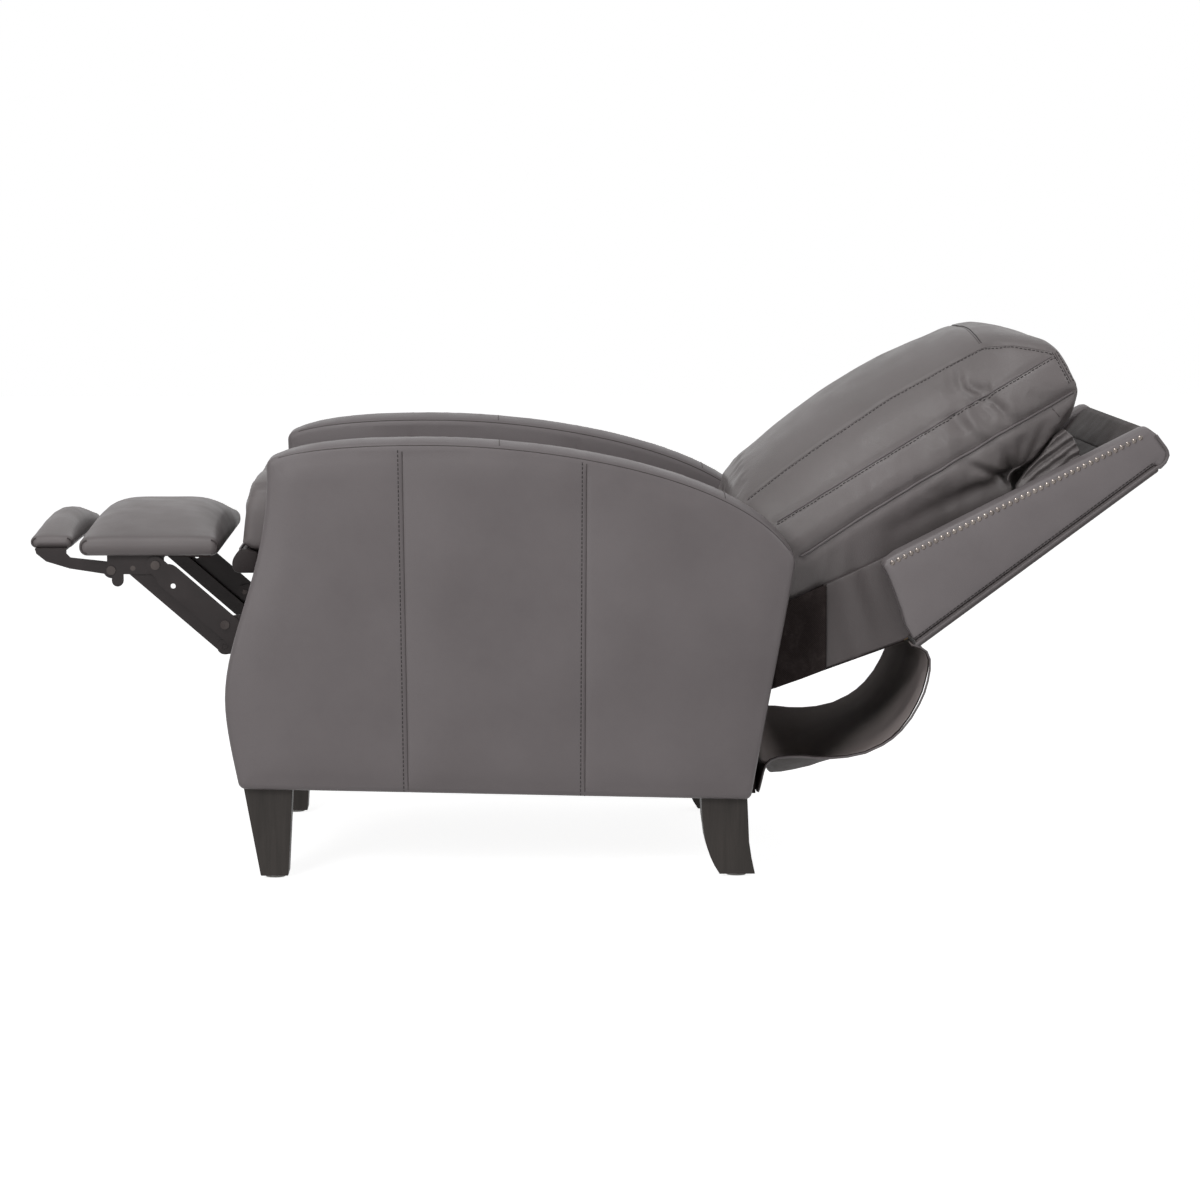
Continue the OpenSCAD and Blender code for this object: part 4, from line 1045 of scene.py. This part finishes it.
def cushion_room(place, normal):
    """Keeps the cushion on the inside back and between the arms."""
    u, v = to_back(place.y, place.z)
    place.y, place.z = from_back(u, max(v, 1.0 * MM))
    limit = CUSHION_HALF + 3 * MM
    place.x = max(-limit, min(limit, place.x))
    return place


moved_points(back_cushion, cushion_room)
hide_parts("back_cushion")
print("back cushion has", len(back_cushion.data.polygons), "faces")

# %% [markdown]
# Each fold is a line on the skin, with a depth and a width in millimetres. A pucker is deepest in its
# middle, and a negative depth stands up. The folds that run to the drawn-in point grow towards it.
# All are pressed in one pass, so that none is laid over one that came before.

# %% Seams, folds and puckers of the back cushion
SEAM_A = [(238, 567), (296, 614), (352, 655), (457, 723), (599, 801), (644, 805), (718, 792)]
SEAM_B = [(279, 536), (396, 609), (526, 687), (630, 748), (708, 794)]
WELT_C = [(317, 482), (413, 545), (524, 612), (617, 669), (702, 716), (741, 739)]
END_SEAM = [(703, 795), (718, 768), (731, 745)]
PUCKERS = [
    ([(958, 366), (960, 380), (966, 391), (976, 399), (984, 400)], -5.5, 7),
    ([(962, 378), (968, 387), (980, 390), (992, 387)], 7, 8), ([(950, 368), (951, 382), (956, 394)], 3, 8),
    ([(964, 402), (970, 418), (980, 430), (994, 440)], -5.5, 9),
    ([(976, 398), (992, 402), (1002, 411), (1008, 426)], 7, 8), ([(978, 404), (988, 412), (998, 420)], 4, 6),
    ([(950, 412), (958, 424), (968, 434)], 4.5, 9), ([(932, 424), (948, 434), (962, 442)], -2.5, 11),
    ([(1004, 396), (1014, 406), (1018, 418)], -3, 9), ([(900, 450), (925, 458), (950, 460)], 2, 14),
    ([(1028, 392), (1038, 398), (1048, 398)], 2, 9), ([(936, 386), (944, 400), (952, 408)], -2, 12),
]
FOLDS_TO_POINT = [
    ([(955, 461), (980, 469), (1000, 477), (1012, 480)], 9, 8), ([(975, 458), (995, 467), (1012, 477)], -4, 8),
    ([(995, 440), (1006, 456), (1016, 472)], 6, 8), ([(1010, 436), (1015, 455), (1018, 470)], -3, 7),
    ([(1020, 434), (1020, 452), (1020, 470)], 5, 7), ([(1036, 424), (1030, 445), (1022, 468)], -4, 8),
    ([(1046, 418), (1038, 440), (1026, 466)], 6, 8),
    ([(880, 537), (930, 512), (965, 497), (1000, 484), (1014, 480)], 12, 14),
]
skin_of_cushion = surface_of(back_cushion)
seam_a = aimed(skin_of_cushion, 200 * MM, SEAM_A)
seam_b = aimed(skin_of_cushion, 260 * MM, SEAM_B)
welt_c = aimed(skin_of_cushion, 278 * MM, WELT_C)
end_seam = aimed(skin_of_cushion, 270 * MM, END_SEAM)
border_seam = seen_on(skin_of_cushion, [(1053, 408), (1061, 419)], fine=3)
BACK_NORMAL = Vector((0, -math.sin(BACK_SLOPE), math.cos(BACK_SLOPE)))
CROSS_STEPS = 24
cross_start = seen_on(skin_of_cushion, [(979, 343), (980, 344)], fine=3)[0]
cross_seam = []
for step in range(CROSS_STEPS + 1):
    above = Vector((cross_start.x * (1 - step / CROSS_STEPS), cross_start.y, cross_start.z)) + BACK_NORMAL * 0.3
    cross_seam.append(skin_of_cushion.ray_cast(above, -BACK_NORMAL)[0])
print("puckers:", len(PUCKERS), "folds to the point:", len(FOLDS_TO_POINT))

# %% Pressing them into the skin
creases = []
for line, depth, width in ((seam_a, 2.2, 5), (seam_b, 3.0, 7), (welt_c, 5.0, 9), (end_seam, 2.0, 4),
                           (border_seam, 1.5, 3), (cross_seam, 1.2, 4)):
    creases.append((line, depth, width, even_depth))
for folds, fade in ((PUCKERS, fading_depth), (FOLDS_TO_POINT, growing_depth)):
    creases += [(seen_on(skin_of_cushion, spots), depth, width, fade) for spots, depth, width in folds]
creases.append((seen_on(skin_of_cushion, [(1012, 478), (1021, 479)], fine=2), 14, 20, even_depth))
draw_in_all(back_cushion, [(path, depth * MM, width * MM, fade) for line, depth, width, fade in creases
                           for path in both_sides(skin_of_cushion, line)])
print("creases drawn in on each side:", len(creases))


GATHER_PUSH = 3 * MM
BROAD_WAVE, FINE_WAVE = 2.6 * MM, 0.8 * MM


def gathered_border(place, normal):
    """Small folds across the border panel, and a slight unevenness over the whole cushion."""
    u, v = to_back(place.y, place.z)
    border = border_height(u)
    inside = max(0.0, 1 - abs(v - border * 0.5) / (border * 0.62))
    fold = ripple((u * 1.6 - v * 0.8, v * 0.25, 0), 0.045, 5.0)
    push = GATHER_PUSH * inside * fold if abs(place.x) > 0.8 * CUSHION_HALF else 0.0
    push += BROAD_WAVE * ripple(place, 0.16, 2.0) + FINE_WAVE * ripple(place, 0.05, 9.0)
    return place + normal * push


moved_points(back_cushion, gathered_border)
skin_of_cushion = surface_of(back_cushion)
cushion_parts = [back_cushion]

# %% Cords and stitches of the cushion
# Name, path, cord radius, leather, lift over the skin, and rows of stitches beside it, in millimetres
CUSHION_SEAMS = (
    ("plain_seam", seam_a, 0.5, SEAM_SHADE_LEATHER, -0.2, (4.5,)),
    ("ridge", seam_b, 1.4, WELT_LEATHER, 0.3, (5.0,)),
    ("welt", welt_c, 2.3, WELT_LEATHER, 0.8, ()),
    ("end_seam", end_seam, 0.7, SEAM_SHADE_LEATHER, 0.0, (-4.0, 3.5)),
    ("border_seam", border_seam, 0.7, SEAM_SHADE_LEATHER, 0.0, ()),
    ("cross_seam", cross_seam, 0.5, SEAM_SHADE_LEATHER, 0.0, (3.0,)),
)
for label, line, radius, material, lift, rows in CUSHION_SEAMS:
    for side, path in zip(("near", "far"), both_sides(skin_of_cushion, line)):
        laid = [place for place, _, _ in laid_on(skin_of_cushion, path, 6 * MM, lift=lift * MM)]
        cushion_parts.append(cord_along(f"cushion_{label}_{side}", eased_line(laid), radius * MM, "back",
                                        "cushion_leather", material))
        for number, beside in enumerate(rows):
            row = laid_on(skin_of_cushion, path, STITCH_PITCH, lift=0.2 * MM,
                          sideways=(beside if side == "near" else -beside) * MM)
            name = f"cushion_{label}_stitches_{side}_{number}"
            cushion_parts.append(stitches(name, row, "back", "cushion_leather"))
for piece in cushion_parts:
    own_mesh(piece)
print("cushion pieces that give way when the back rises:", len(cushion_parts))

# %% [markdown]
# ## Thin skins at the sides of the back
# Three thin pieces close the gaps at each side: the gathered leather between the cushion and the
# inside back, the lower back's skin, and the black cloth over the brackets. Each is a pulled outline
# with a close net, whose outer face is pushed out by a rule.

# %% A thin skin for both sides
def hung_skins(label, outline, x_low, x_high, rounding, nets, push, slot_name, material):
    """nets gives the net's range on y and z and its pitch; push gives a point's move outwards."""
    for side, hand in ARM_NAMES.items():
        bm = pulled_outline(outline, x_low, x_high)
        if rounding:
            round_edges(bm, *rounding)
        *ranges, pitch = nets
        for axis, (low, high) in enumerate(ranges, 1):
            cut_net(bm, axis, low * MM, high * MM, pitch * MM)
        for vertex in bm.verts:
            vertex.co.x += push(vertex.co, side)
        to_side(bm, side)
        finished(f"{hand}_{label}", bm, "back", slot_name, material)
    print(label, "hung on both sides")

# %% The gathered leather between the cushion and the inside back
GUSSET_OUTLINE = back_places((
    (434, 3), (446, 21), (470, 34), (500, 45), (530, 62), (549, 66), (556, 50), (556, 30), (552, 12), (520, 8),
    (480, 6)))
RIB_SLOPE = math.radians(38)
RIB_PITCH = 1.9 * MM


def gathered_ribs(place, _side):
    """Fine ribs that run up the slope, a little wavy, on the outer half of the piece."""
    if place.x <= 248 * MM:
        return 0.0
    across = place.z * math.cos(RIB_SLOPE) - place.y * math.sin(RIB_SLOPE)
    along = place.y * math.cos(RIB_SLOPE) + place.z * math.sin(RIB_SLOPE)
    wave = math.sin(across / RIB_PITCH + 2.5 * ripple((0, along, across), 0.03, 4.0))
    return (3.2 * wave + 5 * ripple((0, along, across * 2), 0.025, 6.0)) * MM


hung_skins("cushion_gusset", GUSSET_OUTLINE, 238 * MM, 258 * MM, (3 * MM, 2), ((655, 750), (595, 690), 3),
           gathered_ribs, "back_leather", PILLOW_LEATHER)

# %% [markdown]
# ## The wings and the outside back
# A board carries each wing's foam. Its leather is nailed along the front edge, and welted where it
# meets the outside back, with a row of stitches just inside the welt.
# The outside back is one padded panel; its leather is painted darker, as painted shade, because it faces the floor.

# %% The wings
WING_IN, WING_OUT = (corner.x for corner in mirrored_box("left_wing"))
WING_OUTLINE = in_metres((
    (435, 474), (441, 465), (448, 449), (456, 429), (464, 407), (471, 383), (484, 360), (848, 628), (855, 618),
    (863, 627), (869, 642), (867, 650), (849, 674), (839, 681), (829, 678), (440, 482)))
WING_WELT = [(486, 354), (560, 409), (640, 468), (720, 527), (800, 586), (850, 623), (861, 628), (867, 641), (865, 650),
             (848, 672)]
WING_PITCH = 14 * MM
WING_SWELL, WING_SINK = 4 * MM, 1.5 * MM
CROWN_REACH = 38 * MM
PAD_RISE = 9 * MM
PAD_MIDDLE, PAD_HALF = 21 * MM, 9 * MM
PAD_BEGINS, PAD_EASE = 205 * MM, 20 * MM


def wing_crown(place, rim):
    """How far the wing's outer face stands out, and how uneven it may be: both fall towards its rim."""
    crown = min(1.0, rim.find((0, place.y, place.z))[2] / CROWN_REACH)
    return WING_SWELL * (1 - (1 - crown) ** 2) - WING_SINK, 0.9 * MM * crown


for side, hand in ARM_NAMES.items():
    bm = pulled_outline(WING_OUTLINE, WING_IN, WING_OUT)
    round_edges(bm, 5 * MM, 3, 50)
    cut_net(bm, 1, 435 * MM, 869 * MM, WING_PITCH)
    cut_net(bm, 2, 360 * MM, 681 * MM, WING_PITCH)
    cut_net(bm, 0, WING_IN, WING_OUT, WING_PITCH)
    rim = marks_tree(whole_side(WING_OUTLINE))[0]
    for vertex in bm.verts:
        if vertex.co.x > WING_OUT - 1 * MM:
            swell, unevenness = wing_crown(vertex.co, rim)
            vertex.co.x += swell
            vertex.co.x += unevenness * ripple(vertex.co, 0.09, side)
    # The front edge is padded, and its roll starts a little above the seat
    for vertex in bm.verts:
        u, v = to_back(vertex.co.y, vertex.co.z)
        front = max(0.0, 1 - abs(v - PAD_MIDDLE) / PAD_HALF)
        across = abs(2 * (vertex.co.x - WING_IN) / (WING_OUT - WING_IN) - 1)
        if front > 0:
            v += PAD_RISE * front * max(0.0, 1 - across ** 2.2) * clamped((u - PAD_BEGINS) / PAD_EASE)
            vertex.co.y, vertex.co.z = from_back(u, v)
    to_side(bm, side)
    skin = finished(hand + "_wing_leather", bm, "back", "wing_leather", BACK_LEATHER)
    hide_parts(hand + "_wing")
    surface = surface_of(skin)
    welt = on_side(in_metres(WING_WELT), side, WING_OUT - 0.5 * MM)
    cord_along(hand + "_wing_welt", [place for place, _ in spaced(welt, 6 * MM)], 2.6 * MM, "back", "wing_leather",
               WELT_LEATHER)
    inner = on_side(in_metres([(y - 5, z + 7) for y, z in WING_WELT[:6]]), side, WING_OUT)
    stitches(hand + "_wing_stitches", laid_on(surface, inner, STITCH_PITCH, lift=0.3 * MM), "back", "wing_leather")
    groove = [place for place, _, _ in laid_on(surface, inner, 8 * MM, lift=-0.5 * MM)]
    cord_along(hand + "_wing_seam", groove, 0.6 * MM, "back", "wing_leather", SEAM_SHADE_LEATHER)
print("wing thickness", round((WING_OUT - WING_IN) / MM, 1), "mm")

# %% The outside back, the top cap and the lower back
# The outside back, the inside back and the top cap take leathers painted darker: painted shade.
for node_name, easing, skin_leather in (
        ("outside_back", 4 * MM, OUTER_SHADED_LEATHER), ("inside_back", 3 * MM, INNER_SHADED_LEATHER),
        ("back_top_cap", 3 * MM, INNER_SHADED_LEATHER), ("lower_back_sides", 3 * MM, LOWER_LEATHER)):
    paint(softened(node_name, easing), skin_leather)
    print(node_name, "eased by", round(easing / MM, 1), "mm")

# %% The lower back's skin
LOWER_OUTLINE = in_metres((
    (354, 307), (354, 437), (400, 458), (440, 477), (500, 507), (520, 480), (505, 372), (478, 352)))
LOWER_X = mirrored_box("lower_back_sides")[1].x


def slack_leather(place, _side):
    """Soft folds that are deepest in the middle of the lower back's skin."""
    if place.x <= LOWER_X:
        return 0.0
    hang = math.sin(clamped((place.y - 354 * MM) / (110 * MM)) * math.pi)
    return 6 * MM * hang * ripple((0, place.y * 2.0 + place.z * 0.5, place.z * 0.3), 0.06, 5)


hung_skins("lower_back_skin", LOWER_OUTLINE, LOWER_X - 3 * MM, LOWER_X + 4 * MM, (2.5 * MM, 3),
           ((354, 520), (307, 507), 9), slack_leather, "back_leather", LOWER_LEATHER)

# %% The black cloth over the back's brackets
CLOTH_OUTLINE = in_metres(((276, 277), (274, 310), (278, 402), (300, 414), (356, 438), (356, 306), (316, 291)))
BRACKET_X = mirrored_box("back_brackets")[1].x


def slack_cloth(place, side):
    return 2.0 * MM * (1 + ripple((0, place.y, place.z * 0.6), 0.022, side + 8))


hung_skins("side_cloth", CLOTH_OUTLINE, BRACKET_X + 1.5 * MM, BRACKET_X + 2.5 * MM, None,
           ((276, 356), (277, 438), 7), slack_cloth, "dust_fabric", DUST_CLOTH)

# %% [markdown]
# ## The flap behind the seat
# A leather sheet hangs from the base's rear rail to the outside back, and hides the linkage from
# behind. Reclined, it bellies down in a slack curve, smooth side out and raw side in.
# It is one sheet on a drawn path.

# %% The flap
FLAP_PATH = in_metres((
    (485, 349), (497, 345), (507, 338), (512, 326), (512, 310), (509, 293), (504, 275), (496, 257), (484, 236),
    (469, 217), (455, 204), (440, 194), (414, 182), (386, 176), (362, 174), (339, 174), (317, 176), (296, 176),
    (280, 175), (268, 171), (261, 164), (257, 153), (254, 140), (251, 128), (249, 122)))
FLAP_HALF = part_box("rear_flap")[1].x
FLAP_THICK = 2.4 * MM
FLAP_STEPS = 40
FLAP_BELLY = 56 * MM

flap_bm = bmesh.new()
flap_start = [flap_bm.verts.new((-FLAP_HALF, y, z)) for y, z in FLAP_PATH]
line_edges = [flap_bm.edges.new(pair) for pair in zip(flap_start, flap_start[1:])]
for step in range(FLAP_STEPS):
    grown = bmesh.ops.extrude_edge_only(flap_bm, edges=line_edges)["geom"]
    new_verts = [item for item in grown if isinstance(item, bmesh.types.BMVert)]
    line_edges = [item for item in grown if isinstance(item, bmesh.types.BMEdge)
                  and all(vert in new_verts for vert in item.verts)]
    bmesh.ops.translate(flap_bm, verts=new_verts, vec=(2 * FLAP_HALF / FLAP_STEPS, 0, 0))
flap_bm.normal_update()
print("flap's net has", len(flap_bm.faces), "faces")

# %% The flap's belly and its two faces
for vertex in flap_bm.verts:
    y, z = vertex.co.y, vertex.co.z
    loose = clamped((z - 122 * MM) / (30 * MM)) * clamped((349 * MM - z) / (60 * MM))
    edge = abs(vertex.co.x) / FLAP_HALF
    low = clamped(min((y - 252 * MM) / (30 * MM), (440 * MM - y) / (150 * MM))) if z < 200 * MM else 0
    vertex.co.z -= FLAP_BELLY * low * low * (3 - 2 * low) * (1 - edge ** 2.2)
    vertex.co += vertex.normal * (3 * MM * loose * ripple((vertex.co.x, y, 0), 0.14, 1.0)
                                  - 1.5 * MM * loose * edge ** 6)
flap_length = sum(math.dist(a, b) for a, b in zip(FLAP_PATH, FLAP_PATH[1:]))
bmesh.ops.solidify(flap_bm, geom=flap_bm.faces[:], thickness=FLAP_THICK)
bmesh.ops.subdivide_edges(flap_bm, edges=[edge for edge in flap_bm.edges if edge.calc_length() > 10 * MM], cuts=1,
                          use_grid_fill=True)
middle_of_flap = Vector((0, 385 * MM, 300 * MM))
flap_bm.normal_update()
# Faces towards the chair get the raw hide, painted lighter as painted light; faces away get the flap leather, painted
# dark as painted shade.
for face in flap_bm.faces:
    face.material_index = 0 if face.normal.dot(middle_of_flap - face.calc_center_median()) > 0 else 1
flap = finished("rear_flap_sheet", flap_bm, None, "flap_suede", SUEDE_PAINTED_LIGHT, FLAP_SHADED_LEATHER)
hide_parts("rear_flap")
print("flap path", round(flap_length, 3), "m, width", round(2 * FLAP_HALF, 3))
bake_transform(flap)
for side, hand in ARM_NAMES.items():
    hem = cord_along(hand + "_flap_hem", on_side(FLAP_PATH, side, FLAP_HALF), 1.7 * MM, None, "flap_suede",
                     WELT_LEATHER)
    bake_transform(hem)

# %% [markdown]
# ## Seat and footrest
# The seat is a thick foam block with a soft top, and a leather roll closes it under the front edge.
# The footrest's pads are firm boards with a crown, and a border strip is sewn on all round.

# %% The seat cushion
SEAT_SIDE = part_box("seat_cushion")[1].x + 3 * MM
FRONT_PUSH, FRONT_BEGINS = 8 * MM, -470 * MM
seat_piece = finished("seat_cushion_leather", copied_node("seat_cushion"), "seat", "cushion_leather", SEAT_LEATHER)
swollen(seat_piece, voxel=8 * MM, pressure=2.5, cap=6 * MM)


def seat_room(place, normal):
    """Keeps the seat cushion between the arms and over its rails, and makes its top uneven."""
    place = place + normal * (1.6 * MM * ripple(place, 0.13, 3.0) + 0.8 * MM * ripple(place, 0.045, 6.0))
    place.x = max(-SEAT_SIDE, min(SEAT_SIDE, place.x))
    place.y -= FRONT_PUSH * clamped((FRONT_BEGINS - place.y) / (40 * MM))
    return place


moved_points(seat_piece, seat_room)
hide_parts("seat_cushion")
print("seat cushion has", len(seat_piece.data.polygons), "faces")

# %% The roll under the seat's front edge
roll_bm = copied_node("seat_front_roll")
bmesh.ops.dissolve_limit(roll_bm, angle_limit=math.radians(3), verts=roll_bm.verts, edges=roll_bm.edges)
round_edges(roll_bm, 3 * MM, 2, 40)
roll_low, roll_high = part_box("seat_front_roll")
cut_net(roll_bm, 0, roll_low.x, roll_high.x, 12 * MM)
for vertex in roll_bm.verts:
    if vertex.co.y < roll_low.y + 25 * MM:
        vertex.co.y += 1.2 * MM * ripple(vertex.co, 0.07, 7.0)
# The roll's leather is painted dark, as painted shade under the seat's front edge.
roll = finished("seat_front_roll_leather", roll_bm, "seat", "roll_leather", ROLL_SHADED_LEATHER)
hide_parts("seat_front_roll")
seat_seam = [(x, roll_low.y + 12 * MM, roll_high.z) for x in (roll_low.x + 2 * MM, 0, roll_high.x - 2 * MM)]
cord_along("seat_front_seam", seat_seam, 2.0 * MM, "seat", "roll_leather", WELT_LEATHER)
print("roll is", round((roll_high.x - roll_low.x) / MM), "mm wide")

# %% The footrest's pads
PAD_CORNER = 12 * MM
PAD_SEAM_LIFT = 0.5 * MM


def footrest_pad(node_name, body, edge_low, edge_high, flatness):
    """A board's padding: a rolled edge all round, and a crown that the flatness makes boxy along the leg."""
    low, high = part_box(node_name)
    half = Vector((high.x - low.x, high.y - low.y, edge_high - edge_low)) / 2
    middle = Vector(((low.x + high.x) / 2, (low.y + high.y) / 2, (edge_high + edge_low) / 2))
    bm = bmesh.new()
    bmesh.ops.create_cube(bm, size=2, matrix=Matrix.Translation(middle) @ Matrix.Diagonal((*half, 1)))
    upright = [edge for edge in bm.edges if abs((edge.verts[0].co - edge.verts[1].co).z) > half.z]
    bmesh.ops.bevel(bm, geom=upright, offset=PAD_CORNER, offset_type="OFFSET", affect="EDGES", segments=4,
                    profile=0.5, material=-1)
    round_edges(bm, half.z * 0.96, 5, 60)
    cut_net(bm, 0, low.x, high.x, 14 * MM)
    cut_net(bm, 1, low.y, high.y, 9 * MM)
    crown = high.z - edge_high
    for vertex in bm.verts:
        across = min(1.0, abs(vertex.co.x - middle.x) / half.x)
        along = min(1.0, abs(vertex.co.y - middle.y) / half.y)
        if vertex.co.z > middle.z:
            rise = min(1.0, (vertex.co.z - middle.z) / half.z)
            vertex.co.z += crown * rise * (1 - across ** 2.2) * (1 - along ** flatness)
            vertex.co.z += 0.9 * MM * ripple(vertex.co, 0.07, 2.0)
    pad = finished(node_name + "_leather", bm, body, "footrest_leather", FOOTREST_LEATHER)
    surface = surface_of(pad)
    for side in (1, -1):
        for end in (1, -1):
            centre = Vector((side * (high.x - 1.5 * MM), middle.y + end * (half.y - half.z - 1 * MM), middle.z))
            arc = [centre + Vector((0, end * math.cos(angle), math.sin(angle))) * half.z * 0.9
                   for angle in [math.radians(-80 + 16 * step) for step in range(11)]]
            laid = [place + normal * PAD_SEAM_LIFT for place, normal, _, _ in map(surface.find_nearest, arc)]
            cord_along(f"{node_name}_end_seam_{side}_{end}", laid, 1.4 * MM, body, "footrest_leather", SEAM_SHADE_LEATHER)
    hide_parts(node_name)
    print(pad.name, len(pad.data.polygons), "faces")


footrest_pad("footrest_pad", "footrest", 486 * MM, 513 * MM, 5)
footrest_pad("flip_pad", "flip", 494 * MM, 512 * MM, 2.5)
# The rails and the board that an open gap would show are wrapped in the black cloth
for node_name in ("footrest_board", "base_rear_rail", "base_front_rail", "base_side_rails", "seat_front_rail"):
    paint(frame["nodes"][node_name], DUST_CLOTH)

# %% [markdown]
# ## Legs
# The legs are sawn from one dark timber, tapered in front and swept at the rear.
# Their arrises are eased, which is where the light catches.

# %% Easing the legs
for node_name in ("left_front_leg", "right_front_leg", "left_rear_leg", "right_rear_leg"):
    softened(node_name, 2 * MM)
